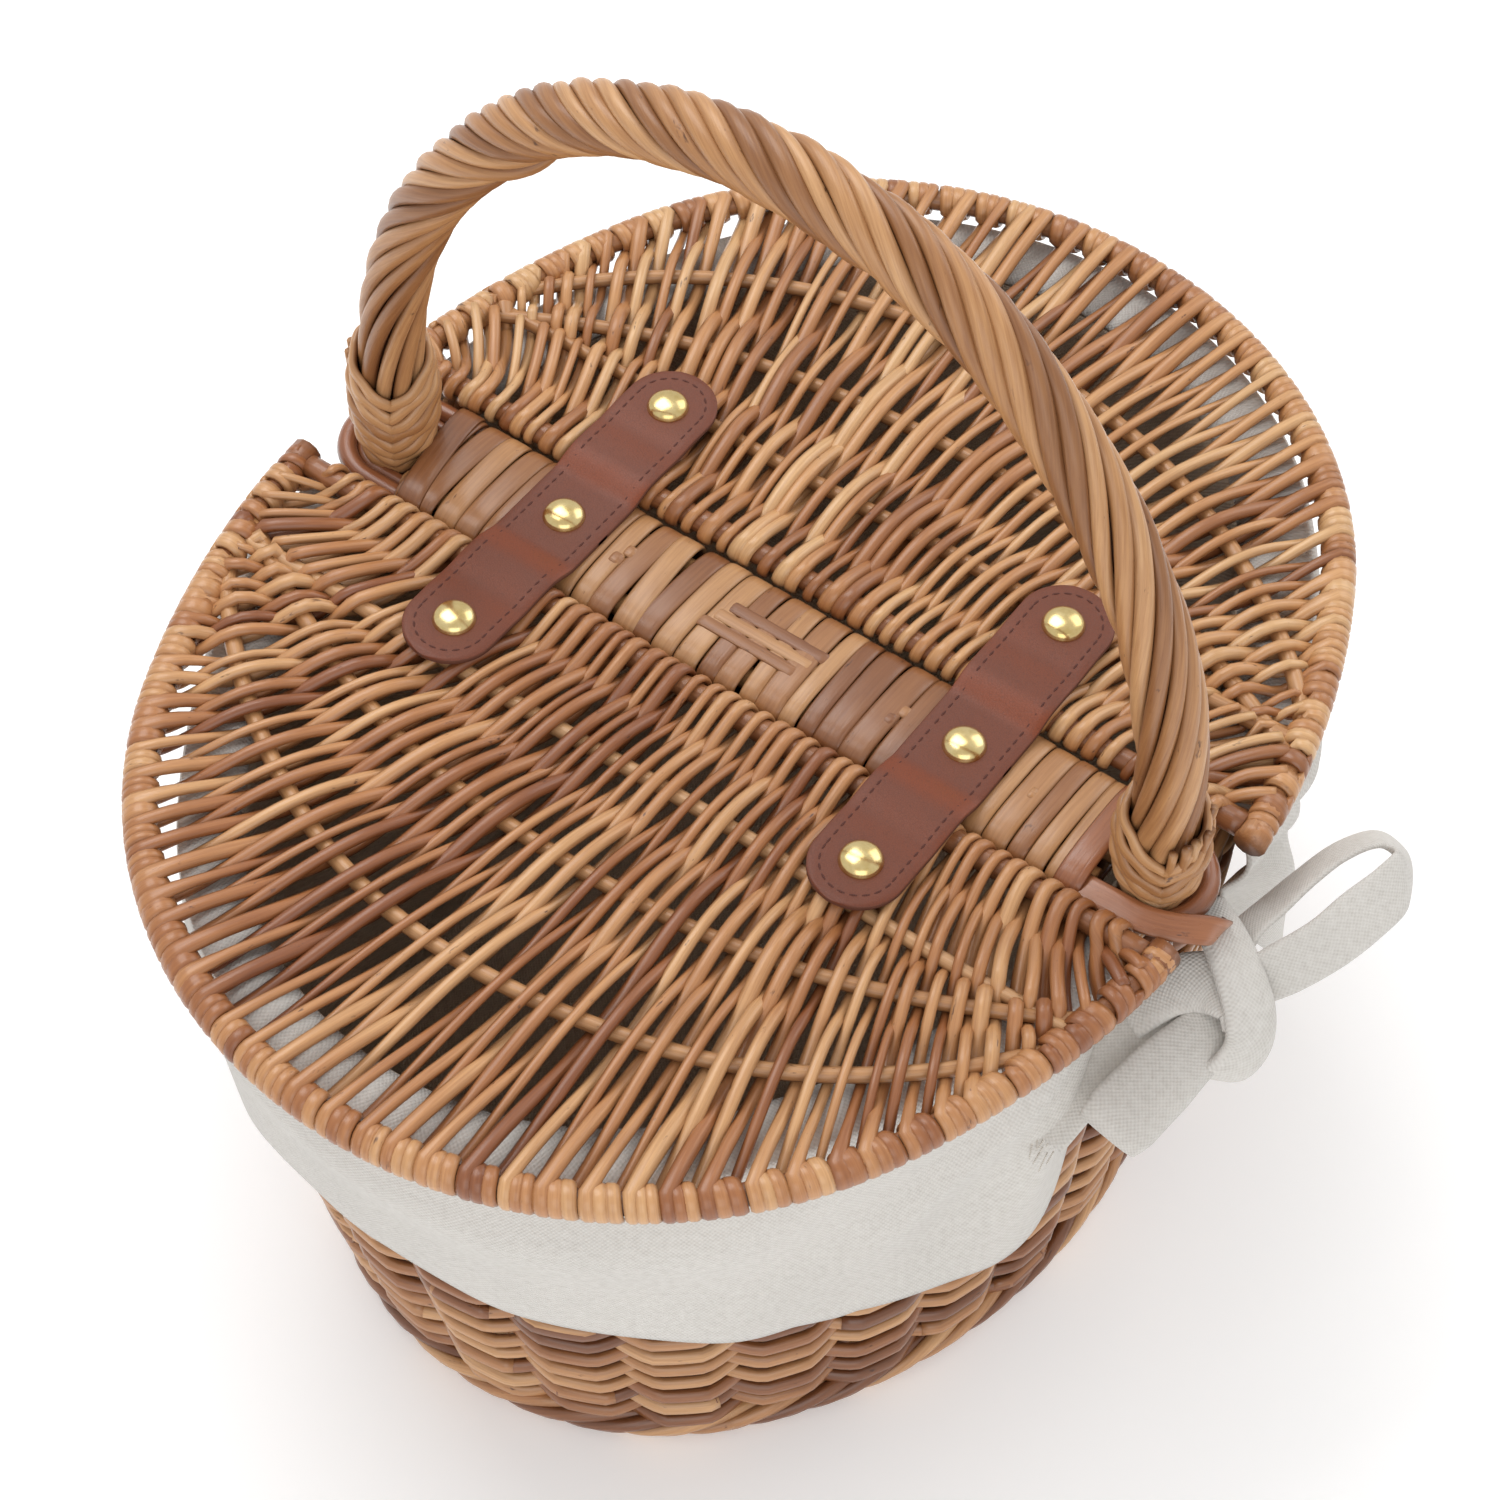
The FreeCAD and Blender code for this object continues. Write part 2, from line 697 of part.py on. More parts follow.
def make_centre_strap(name, x):
    body = doc.addObject("PartDesign::Body", "Body_" + name)
    sketch = sketch_on(body, "XY_Plane")
    half, minus = [(0.5, "strap_width")], [(-0.5, "strap_width")]
    reach = [(1, "hinge_offset"), (-1, "hinge_gap")]
    minus_reach = [(-1, "hinge_offset"), (1, "hinge_gap")]
    outline(sketch, [(minus, minus_reach), (half, minus_reach), (half, reach), (minus, reach)])
    circle = sketch.addGeometry(Part.Circle(Vector(0, 0, 0), Vector(0, 0, 1), size("popper_hole_radius")))
    sketch.addConstraint(Sketcher.Constraint("Coincident", circle, 3, -1, 1))
    number = sketch.addConstraint(Sketcher.Constraint("Radius", circle, size("popper_hole_radius")))
    sketch.setExpression("Constraints[%d]" % number, "Sizes.popper_hole_radius")
    pad(body, sketch, [(1, "strap_thickness")])
    keep(place(body, x, 0, size("bar_top")), name)


def make_straps():
    for side, sign in (("left", -1), ("right", 1)):
        x = sign * size("strap_spacing")
        make_centre_strap("hinge_strap_%s_centre" % side, x)
        make_popper("popper_%s_centre" % side, x, 0, size("bar_top") + size("strap_thickness"))


# The lids ---------------------------------------------------------------------------------

def lid_plate(inset, start, z, height):
    """A D-shaped plate inside the bent rod and the chord."""
    bent = lid_wire(inset, start, z)
    ends = [vertex.Point for vertex in bent.OrderedVertexes]
    chord = Part.LineSegment(ends[-1], ends[0]).toShape()
    return Part.Face(Part.Wire(bent.Edges + [chord])).extrude(Vector(0, 0, height))


def make_lid(lid, turn):
    """One D-shaped lid: bent rod, chord, three ribs, weave, and its halves of the straps."""
    z, edge = size("lid_level"), size("chord_inner_edge")
    rod_radius, chord_radius = size("lid_rod_radius"), size("chord_radius")
    spin = FreeCAD.Placement(Vector(0, 0, 0), Rotation(Vector(0, 0, 1), turn))

    def settle(item, name):
        item.Placement = spin.multiply(item.Placement)
        return keep(item, lid + "_" + name)

    settle(sweep(lid + "Frame", lid_wire(rod_radius, edge, z), "lid_rod_radius"), "lid_frame")
    chord_y = edge + chord_radius
    reach = lid_reach(2 * rod_radius, chord_y + chord_radius) - size("rod_gap")
    settle(rod(lid + "Chord", "chord_radius", 2 * reach, Vector(-reach, -chord_y, z), Vector(1, 0, 0)),
           "lid_chord")

    rib_y = size("inner_rib_depth")
    reach = lid_reach(2 * rod_radius, rib_y) - 2 * size("rod_gap")
    inner = Part.makeCylinder(size("rib_radius"), 2 * reach, Vector(-reach, -rib_y, z), Vector(1, 0, 0))
    ribs = [fixed(lid + "RibInner", inner)]
    for rib in ("middle_rib", "outer_rib"):
        ribs.append(sweep(lid + "_" + rib, rib_wire(rib, z), "rib_radius"))
    plate_inset = 2 * rod_radius + size("fit_gap")
    thickness = size("weave_thickness")
    plate_start = edge + 2 * chord_radius + size("fit_gap")
    plate = fixed(lid + "Plate", lid_plate(plate_inset, plate_start, z - thickness / 2, thickness))
    weave = boolean("Cut", lid + "Weave", plate, group(lid + "Ribs", ribs))
    doc.recompute()
    settle(weave, "lid_weave")
    for label, rib in zip(("lid_rib_inner", "lid_rib_middle", "lid_rib_outer"), ribs):
        copy = doc.addObject("Part::Compound", lid + label + "Node")
        copy.Links = [rib]
        settle(copy, label)

    for side, sign in (("left", -1), ("right", 1)):
        x = sign * size("strap_spacing")
        make_lid_strap("%s_strap_%s" % (lid, side), x, turn)
        y = -size("popper_offset") if turn == 0 else size("popper_offset")
        make_popper("%s_popper_%s" % (lid, side), x, y, size("lid_strap_level") + size("strap_thickness"))


# The lining -------------------------------------------------------------------------------

def make_lining():
    canvas, floor = size("canvas_thickness"), size("bag_floor")
    mouth = size("wall_top") + size("rim_height")
    width, length = size("rim_half_width"), size("rim_half_length")
    foot_inset, mouth_inset = size("bag_foot_inset"), size("bag_mouth_inset")
    foot = (size("foot_half_width") - foot_inset, size("foot_half_length") - foot_inset)
    top = (width - mouth_inset, length - mouth_inset)
    outer = loft("BagOuter", (*foot, floor), (*top, mouth))
    inner = loft("BagInner", (foot[0] - canvas, foot[1] - canvas, floor + canvas),
                 (top[0] - canvas, top[1] - canvas, mouth))
    keep(boolean("Cut", "LiningBag", outer, inner), "lining_bag")

    hem = mouth - size("skirt_drop")
    near = size("skirt_clearance")
    far = near + canvas
    flare = size("skirt_flare")
    gap = size("fit_gap")
    crest = mouth + canvas - gap
    outside = loft("SkirtOuter", (width + far + flare, length + far + flare, hem),
                   (width + far, length + far, crest))
    inside = loft("SkirtInner", (width + near + flare, length + near + flare, hem),
                  (width + near, length + near, mouth + gap))
    hollow = boolean("Cut", "SkirtHollow", outside, inside)
    opening = slab("SkirtMouth", top[0] + 3 * gap, top[1] + 3 * gap, mouth - 10 * gap, [(1, "rim_height")])
    skirt = boolean("Cut", "Skirt", hollow, opening)
    slit, far_side = size("skirt_slit"), 2 * length
    for side, low, high in (("front", -far_side, -slit), ("back", slit, far_side)):
        half = box("SkirtHalf_" + side, (-far_side, low, 0), (far_side, high, 2 * mouth))
        keep(boolean("Common", "Skirt_" + side, skirt, half), "lining_skirt_" + side)


def ribbon_ring(half_width, half_length):
    """A flat oval disc in the XY plane, its length along Y."""
    arcs = oval_arcs(half_width, half_length, size("end_fullness"))
    return Part.Face(Part.Wire([arc_edge(arc, arc[3], arc[4], level(0)) for arc in arcs]))


def bow_loop(name, sign):
    """One flat ribbon loop beside the knot, standing in the YZ plane."""
    half_length, half_height = size("bow_loop_length") / 2, size("bow_loop_height") / 2
    thickness = size("bow_thickness")
    outer = ribbon_ring(half_height, half_length)
    inner = ribbon_ring(half_height - thickness, half_length - thickness)
    item = fixed(name, outer.cut(inner).extrude(Vector(0, 0, size("bow_ribbon"))))
    upright = FreeCAD.Placement(Vector(0, sign * half_length, 0), Rotation(Vector(0, 1, 0), 90))
    tilt = FreeCAD.Placement(Vector(), Rotation(Vector(1, 0, 0), sign * size("bow_tilt")))
    swing = FreeCAD.Placement(Vector(), Rotation(Vector(0, 0, 1), -sign * size("bow_swing")))
    item.Placement = swing.multiply(tilt).multiply(upright)
    return item


def make_bow(side, sign):
    """A knot with two ribbon loops and two tails, tied outside the rim beside the handle."""
    ribbon, width = size("bow_ribbon"), size("bow_tail_width")
    reach, gap = size("bow_knot_radius"), size("rod_gap")
    spread, offset = size("bow_tail_spread"), size("bow_tail_offset")
    knot = box("Knot_" + side, (-gap, -reach, -reach), (ribbon + gap, reach, reach))
    pieces = [bow_loop("Loop_%s_%s" % (side, letter), way) for letter, way in (("a", -1), ("b", 1))]
    for letter, way in (("a", -1), ("b", 1)):
        tail = doc.addObject("Part::Box", "Tail_%s_%s" % (side, letter))
        bind(tail, "Length", [(1, "bow_thickness")])
        bind(tail, "Width", [(1, "bow_tail_width")])
        bind(tail, "Height", [(1, "bow_tail_length")])
        corner = Vector(ribbon / 2 + way * size("bow_thickness") / 2, way * offset - width / 2, 0)
        tail.Placement = FreeCAD.Placement(corner, Rotation(Vector(1, 0, 0), 180 + way * spread),
                                           Vector(0, width / 2, 0))
        pieces.append(tail)
    item = doc.addObject("Part::MultiFuse", "Bow_" + side)
    item.Shapes = [knot] + pieces
    x = sign * (size("rim_half_width") + size("skirt_clearance") + size("canvas_thickness") + 2 * gap)
    turn = 0 if sign > 0 else 180
    keep(place(item, x, 0, size("bow_level"), angle=turn), "tie_bow_" + side)


# Building and writing ---------------------------------------------------------------------

make_body()
make_base()
make_handle()
make_crossbar()
make_straps()
make_lid("front", 0)
make_lid("back", 180)
make_lining()
make_bow("left", -1)
make_bow("right", 1)
doc.recompute()

faults = [item.Label for item in doc.Objects if {"Invalid", "Error"} & set(item.State)]
for name, item in parts.items():
    if item.Shape.isNull() or not item.Shape.isValid() or not item.Shape.Solids:
        faults.append(name)
if faults:
    raise RuntimeError("These objects failed: " + ", ".join(sorted(set(faults))))

os.makedirs("parts", exist_ok=True)
for name, item in parts.items():
    item.Shape.exportStep("parts/%s.step" % name)
    solids = item.Shape.Solids
    print("%-26s %3d solids %10.0f mm3" % (name, len(solids), sum(solid.Volume for solid in solids)))
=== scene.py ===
import math

import bpy
import numpy as np
from mathutils import Matrix, Vector


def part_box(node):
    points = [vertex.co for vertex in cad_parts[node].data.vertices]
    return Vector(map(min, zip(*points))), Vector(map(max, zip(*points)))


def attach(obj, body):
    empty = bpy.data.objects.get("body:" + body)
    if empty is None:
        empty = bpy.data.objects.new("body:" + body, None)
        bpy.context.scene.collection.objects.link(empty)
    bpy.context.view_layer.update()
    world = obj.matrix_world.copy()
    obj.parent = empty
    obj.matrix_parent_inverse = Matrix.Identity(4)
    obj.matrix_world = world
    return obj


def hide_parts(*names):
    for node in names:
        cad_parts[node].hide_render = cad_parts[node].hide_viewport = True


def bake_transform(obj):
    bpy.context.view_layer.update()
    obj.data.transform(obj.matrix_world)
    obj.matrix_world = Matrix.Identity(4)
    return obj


# A willow picnic basket.  Shapes are worked out in millimetres, in the CAD frame: X runs along
# the crossbar and the handle's span, -Y is the front lid's side, Z is up.
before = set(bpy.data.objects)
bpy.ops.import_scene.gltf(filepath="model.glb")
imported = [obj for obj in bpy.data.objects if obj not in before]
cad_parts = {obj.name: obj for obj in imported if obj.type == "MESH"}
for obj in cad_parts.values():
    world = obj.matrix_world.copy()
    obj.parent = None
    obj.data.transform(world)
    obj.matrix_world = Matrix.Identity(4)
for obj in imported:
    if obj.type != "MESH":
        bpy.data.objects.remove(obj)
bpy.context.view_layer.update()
MM = 0.001
UP = np.array([0.0, 0.0, 1.0])


def box(node):
    """A CAD node's lowest and highest corners in millimetres."""
    low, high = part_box(node)
    return np.array(low) / MM, np.array(high) / MM


def middle(node):
    """The middle of a CAD node's box in millimetres."""
    low, high = box(node)
    return (low + high) / 2


# Sizes read from the frame ------------------------------------------------------------------
lid_low, lid_high = box("front_lid_frame")
LID_HALF_WIDTH = lid_high[0]
LID_HALF_LENGTH = -lid_low[1]
LID_LEVEL = (lid_low[2] + lid_high[2]) / 2
LID_ROD = (lid_high[2] - lid_low[2]) / 2
LID_EDGE = -lid_high[1]
CHORD_Y = -middle("front_lid_chord")[1]
rib_low, rib_high = box("front_lid_rib_inner")
RIB_DEPTH = -(rib_low[1] + rib_high[1]) / 2
RIB_RADIUS = (rib_high[1] - rib_low[1]) / 2
bar_low, bar_high = box("crossbar_wrap")
BAR_HALF, BAR_HALF_WIDTH, BAR_TOP = bar_high
BAR_MIDDLE = (bar_low[2] + bar_high[2]) / 2
RIM_HALF_WIDTH, RIM_HALF_LENGTH, RIM_TOP = box("rim_border")[1]
RIM_MIDDLE = middle("rim_border")[2]
FOOT_HALF_WIDTH, FOOT_HALF_LENGTH, FOOT_TOP = box("foot_border")[1]
WALL_HALF_WIDTH, WALL_HALF_LENGTH, WALL_TOP = box("side_weave")[1]
LEG_X = middle("handle_collar_right")[0]
_, HANDLE_RADIUS, handle_top = box("handle_roping")[1]
HANDLE_APEX = handle_top - HANDLE_RADIUS
STRAP_X = middle("popper_right_centre")[0]
strap_low, strap_high = box("front_strap_right")
STRAP_HALF_WIDTH = (strap_high[0] - strap_low[0]) / 2
STRAP_END = -strap_low[1]
STRAP_LEVEL = strap_low[2]
STRAP_THICK = strap_high[2] - STRAP_LEVEL
cap_low, cap_high = box("front_popper_right")
POPPER_RADIUS = (cap_high[0] - cap_low[0]) / 2

# Sizes of its own ---------------------------------------------------------------------------
HINGE_Y, HINGE_Z = 21.5, 204.7       # the line on which a lid turns
OVAL_FULLNESS = 0.84                 # end radius of an oval, as a share of its half width
HANDLE_FULLNESS = 0.86
HANDLE_SPRING = 225.0                # where the straight legs end and the arch starts


# Geometry helpers ---------------------------------------------------------------------------

def unit(vectors):
    """The same directions, each of length one."""
    vectors = np.asarray(vectors, float)
    return vectors / np.maximum(np.linalg.norm(vectors, axis=-1, keepdims=True), 1e-9)


def smooth(x):
    """0 below 0, 1 above 1, and an even S between."""
    x = np.clip(x, 0.0, 1.0)
    return x * x * (3 - 2 * x)


def smooth_line(points, count):
    """A smooth curve through a few points (Catmull-Rom), sampled evenly in its parameter."""
    points = np.asarray(points, float)
    padded = np.concatenate([[2 * points[0] - points[1]], points, [2 * points[-1] - points[-2]]])
    place = np.linspace(0, len(points) - 1, count)
    index = np.minimum(place.astype(int), len(points) - 2)
    t = (place - index)[:, None]
    a, b, c, d = (padded[index + shift] for shift in range(4))
    return 0.5 * (2 * b + (c - a) * t + (2 * a - 5 * b + 4 * c - d) * t ** 2
                  + (3 * b - a - 3 * c + d) * t ** 3)


class Oval:
    """Four tangent arcs round the origin, measured by the distance travelled from the right."""

    def __init__(self, half_width, half_length, fullness=OVAL_FULLNESS):
        end = fullness * half_width
        rise = half_length - end
        side = (half_width ** 2 + rise ** 2 - end ** 2) / (2 * (half_width - end))
        shift = side - half_width
        turn = math.atan2(rise, shift)
        self.side, self.turn = side, turn
        self.arcs = [
            (-shift, 0.0, side, -turn, turn),
            (0.0, rise, end, turn, math.pi - turn),
            (shift, 0.0, side, math.pi - turn, math.pi + turn),
            (0.0, -rise, end, math.pi + turn, 2 * math.pi - turn),
        ]
        self.lengths = np.array([(arc[4] - arc[3]) * arc[2] for arc in self.arcs])
        self.ends = np.cumsum(self.lengths)
        self.length = self.ends[-1]

    def at(self, travel):
        """Points and outward directions, in the plane, at these distances round the oval."""
        travel = np.mod(np.asarray(travel, float), self.length)
        index = np.minimum(np.searchsorted(self.ends, travel, side="right"), 3)
        table = np.array(self.arcs)[index]
        before = (self.ends - self.lengths)[index]
        angle = table[..., 3] + (travel - before) / table[..., 2]
        out = np.stack([np.cos(angle), np.sin(angle)], -1)
        return table[..., :2] + out * table[..., 2:3], out

    def front_span(self, edge):
        """Travel at the two points with y = -edge: on the left, then on the right."""
        tilt = math.asin(edge / self.side)
        left = self.ends[1] + (tilt + self.turn) * self.side
        right = self.length + (self.turn - tilt) * self.side
        return left, right


class Weave:
    """Collects rods, strips and loops into one mesh, each with its own grain and tone."""

    def __init__(self, seed):
        self.random = np.random.default_rng(seed)
        self.spots, self.faces, self.kind = [], [], []
        self.grain, self.tone, self.crease = [], [], []
        self.count = 0

    def rod(self, path, normal, thick, wide=None, tone=None, sides=8, square=1.0, closed=False, kind=0,
            two_sided=False):
        """A rod along a path; thick is its half size along normal and wide its half size across.

        A power below 1 in square makes its section boxier, and kind picks its material.  A rod lying
        against others gets painted shade on its hidden sides; a two-sided one only at its edges.
        """
        path = np.asarray(path, float)
        count = len(path)
        wide = thick if wide is None else wide
        thick = np.broadcast_to(np.asarray(thick, float), (count,))
        wide = np.broadcast_to(np.asarray(wide, float), (count,))
        along = unit(np.roll(path, -1, 0) - np.roll(path, 1, 0) if closed else np.gradient(path, axis=0))
        normal = np.broadcast_to(np.asarray(normal, float), path.shape)
        normal = unit(normal - (normal * along).sum(-1, keepdims=True) * along)
        across = np.cross(along, normal)
        theta = 2 * np.pi * (np.arange(sides) + 0.5) / sides
        up = np.sign(np.cos(theta)) * np.abs(np.cos(theta)) ** square
        over = np.sign(np.sin(theta)) * np.abs(np.sin(theta)) ** square
        ring = (path[:, None] + (thick[:, None] * up)[..., None] * normal[:, None]
                + (wide[:, None] * over)[..., None] * across[:, None])
        travel = np.concatenate([[0], np.cumsum(np.linalg.norm(np.diff(path, axis=0), axis=1))])
        offset = self.random.uniform(0, 900, 3)
        grain = np.stack([
            np.broadcast_to(travel[:, None], (count, sides)),
            thick[:, None] * up, wide[:, None] * over], -1) + offset
        tone = self.random.uniform() if tone is None else tone
        facing = np.cos(theta)
        # Painted shade: crease darkens a rod's hidden side, or a two-sided rod's edges, standing in for the
        # shade its neighbours cast.
        crease = 0.3 * (1 - facing ** 2) if two_sided else ((1 - facing) / 2) ** 1.4
        here, nxt = np.arange(count if closed else count - 1), np.arange(sides)
        i, j = np.meshgrid(here, nxt, indexing="ij")
        after, turn = (i + 1) % count, (j + 1) % sides
        quads = np.stack([i * sides + j, i * sides + turn, after * sides + turn, after * sides + j], -1)
        self.faces.extend((quads.reshape(-1, 4) + self.count).tolist())
        if not closed:
            self.faces.append((self.count + np.arange(sides)[::-1]).tolist())
            self.faces.append((self.count + (count - 1) * sides + np.arange(sides)).tolist())
        self.kind.extend([kind] * (len(self.faces) - len(self.kind)))
        self.spots.append(ring.reshape(-1, 3))
        self.grain.append(grain.reshape(-1, 3))
        self.tone.append(np.repeat(np.broadcast_to(tone, (count,)), sides))
        self.crease.append(np.tile(crease, count))
        self.count += count * sides

    def place(self, name, finishes, body, slot, node, flip=False):
        """Make the piece, turned half round the Z axis if flip is true, and settle it."""
        spots = np.concatenate(self.spots) * MM
        if flip:
            spots = spots * np.array([-1.0, -1.0, 1.0])
        item = mesh_object(name, spots, self.faces, [MATERIALS[finish] for finish in finishes.split()],
                           np.concatenate(self.grain), np.concatenate(self.tone), self.kind,
                           np.concatenate(self.crease))
        settle(item, body, node)


def mesh_object(name, spots, faces, materials, grain=None, tone=None, kind=None, crease=None):
    """A smooth-shaded object; grain, tone and crease are kept at its points for the materials."""
    mesh = bpy.data.meshes.new(name)
    mesh.from_pydata(spots, [], faces)
    for material in materials:
        mesh.materials.append(material)
    mesh.polygons.foreach_set("use_smooth", np.ones(len(mesh.polygons), bool))
    if kind is not None and len(materials) > 1:
        mesh.polygons.foreach_set("material_index", np.array(kind, np.int32))
    if grain is not None:
        layer = mesh.attributes.new("grain", "FLOAT_VECTOR", "POINT")
        layer.data.foreach_set("vector", np.asarray(grain, np.float32).ravel())
    for label, values in (("tone", tone), ("crease", crease)):
        if values is not None:
            layer = mesh.attributes.new(label, "FLOAT", "POINT")
            layer.data.foreach_set("value", np.asarray(values, np.float32))
    mesh.update()
    item = bpy.data.objects.new(name, mesh)
    bpy.context.scene.collection.objects.link(item)
    return item


def grid_faces(rows, columns, wrap=False):
    """Quads of a grid whose points are stored row by row."""
    i, j = np.meshgrid(np.arange(rows - 1), np.arange(columns if wrap else columns - 1), indexing="ij")
    right = (j + 1) % columns
    quads = np.stack([i * columns + j, i * columns + right, (i + 1) * columns + right,
                      (i + 1) * columns + j], -1)
    return quads.reshape(-1, 4).tolist()


def settle(item, body, node):
    """Attach a finished piece to its body and hide the CAD node it stands for."""
    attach(item, body)
    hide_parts(node)


def ripples(random, share, orders, fade):
    """Uneven waves along a sheet, each order weaker than the one before."""
    return sum(random.normal(0, 1) * np.sin(2 * np.pi * k * share + random.uniform(0, 6)) / k ** fade
               for k in orders)


# Materials ----------------------------------------------------------------------------------

class Nodes:
    """Short names for building one material's node tree."""

    def __init__(self, name):
        self.material = bpy.data.materials.new(name)
        self.material.use_nodes = True
        self.tree = self.material.node_tree
        self.shader = self.tree.nodes["Principled BSDF"]

    def add(self, kind, **settings):
        node = self.tree.nodes.new(kind)
        for key, value in settings.items():
            setattr(node, key, value)
        return node

    def link(self, source, target):
        self.tree.links.new(source, target)

    def attribute(self, name):
        return self.add("ShaderNodeAttribute", attribute_name=name)

    def scaled(self, vector, scale):
        node = self.add("ShaderNodeMapping")
        node.inputs["Scale"].default_value = scale
        self.link(vector, node.inputs["Vector"])
        return node.outputs["Vector"]

    def noise(self, vector, scale=1.0, detail=2.0, rough=0.5):
        node = self.add("ShaderNodeTexNoise")
        node.inputs["Scale"].default_value = scale
        node.inputs["Detail"].default_value = detail
        node.inputs["Roughness"].default_value = rough
        self.link(vector, node.inputs["Vector"])
        return node.outputs["Fac"]

    def ramp(self, value, stops):
        """stops is a list of (position, (r, g, b)) or (position, grey)."""
        node = self.add("ShaderNodeValToRGB")
        elements = node.color_ramp.elements
        while len(elements) < len(stops):
            elements.new(0.5)
        for element, (place, colour) in zip(elements, stops):
            element.position = place
            rgb = colour if isinstance(colour, tuple) else (colour,) * 3
            element.color = (*rgb, 1.0)
        self.link(value, node.inputs["Fac"])
        return node.outputs["Color"]

    def mix(self, kind, factor, first, second):
        node = self.add("ShaderNodeMix", data_type="RGBA", blend_type=kind)
        for socket, value in ((node.inputs[0], factor), (node.inputs[6], first), (node.inputs[7], second)):
            if hasattr(value, "is_linked"):
                self.link(value, socket)
            else:
                socket.default_value = (*value, 1.0) if isinstance(value, tuple) else value
        return node.outputs[2]

    def math(self, kind, *values):
        node = self.add("ShaderNodeMath", operation=kind)
        for socket, value in zip(node.inputs, values):
            if hasattr(value, "is_linked"):
                self.link(value, socket)
            else:
                socket.default_value = value
        return node.outputs[0]

    def bump(self, height, strength, distance):
        node = self.add("ShaderNodeBump")
        node.inputs["Strength"].default_value = strength
        node.inputs["Distance"].default_value = distance
        self.link(height, node.inputs["Height"])
        self.link(node.outputs["Normal"], self.shader.inputs["Normal"])

    def set(self, **values):
        for name, value in values.items():
            self.shader.inputs[name.replace("_", " ")].default_value = value


def srgb(red, green, blue):
    """A colour given as 0-255 screen values, made linear."""
    def linear(value):
        value /= 255
        return value / 12.92 if value <= 0.04045 else ((value + 0.055) / 1.055) ** 2.4
    return (linear(red), linear(green), linear(blue))


def willow(name, tones, rough=0.37, coat=0.34, knots=1.0, streak=0.5, painted_shade=(118, 82, 58)):
    """Steamed willow: each rod has its own tone, with long streaks, blotches and dark knots, and painted
    shade in its creases.
    """
    n = Nodes(name)
    grain = n.attribute("grain").outputs["Vector"]
    tone = n.attribute("tone").outputs["Fac"]
    stops = [(index / (len(tones) - 1), srgb(*colour)) for index, colour in enumerate(tones)]
    blotch = n.noise(n.scaled(grain, (0.022, 0.05, 0.05)), 1.0, 3.0, 0.6)
    wander = n.math("ADD", tone, n.math("MULTIPLY", n.math("SUBTRACT", blotch, 0.5), 0.75))
    colour = n.ramp(wander, stops)
    fine = n.noise(n.scaled(grain, (0.05, 1.1, 1.1)), 1.0, 4.0, 0.65)
    colour = n.mix("MULTIPLY", streak, colour, n.ramp(fine, [(0.3, (0.55, 0.42, 0.33)), (0.62, 1.0)]))
    spots = n.noise(n.scaled(grain, (0.11, 0.35, 0.35)), 1.0, 3.0, 0.7)
    knot = n.ramp(spots, [(0.66, 0.0), (0.73, 1.0)])
    specks = n.noise(n.scaled(grain, (0.5, 1.0, 1.0)), 1.0, 2.0, 0.5)
    speck = n.math("MULTIPLY", knot, n.ramp(specks, [(0.42, 0.0), (0.56, 1.0)]))
    colour = n.mix("MIX", n.math("MULTIPLY", speck, 0.8 * knots), colour, srgb(74, 42, 27))
    # Painted shade: the crease attribute darkens each rod towards the shade colour on its hidden sides, where
    # its neighbours shade it.
    colour = n.mix("MULTIPLY", n.attribute("crease").outputs["Fac"], colour, srgb(*painted_shade))
    n.link(colour, n.shader.inputs["Base Color"])
    gloss = n.noise(n.scaled(grain, (0.1, 0.5, 0.5)), 1.0, 3.0)
    n.link(n.math("ADD", n.math("MULTIPLY", gloss, 0.22), rough - 0.11), n.shader.inputs["Roughness"])
    height = n.math("SUBTRACT", fine, n.math("MULTIPLY", speck, 0.6))
    n.bump(height, 0.5, 0.0003)
    n.set(Coat_Weight=coat, Coat_Roughness=0.22, IOR=1.48)
    return n.material


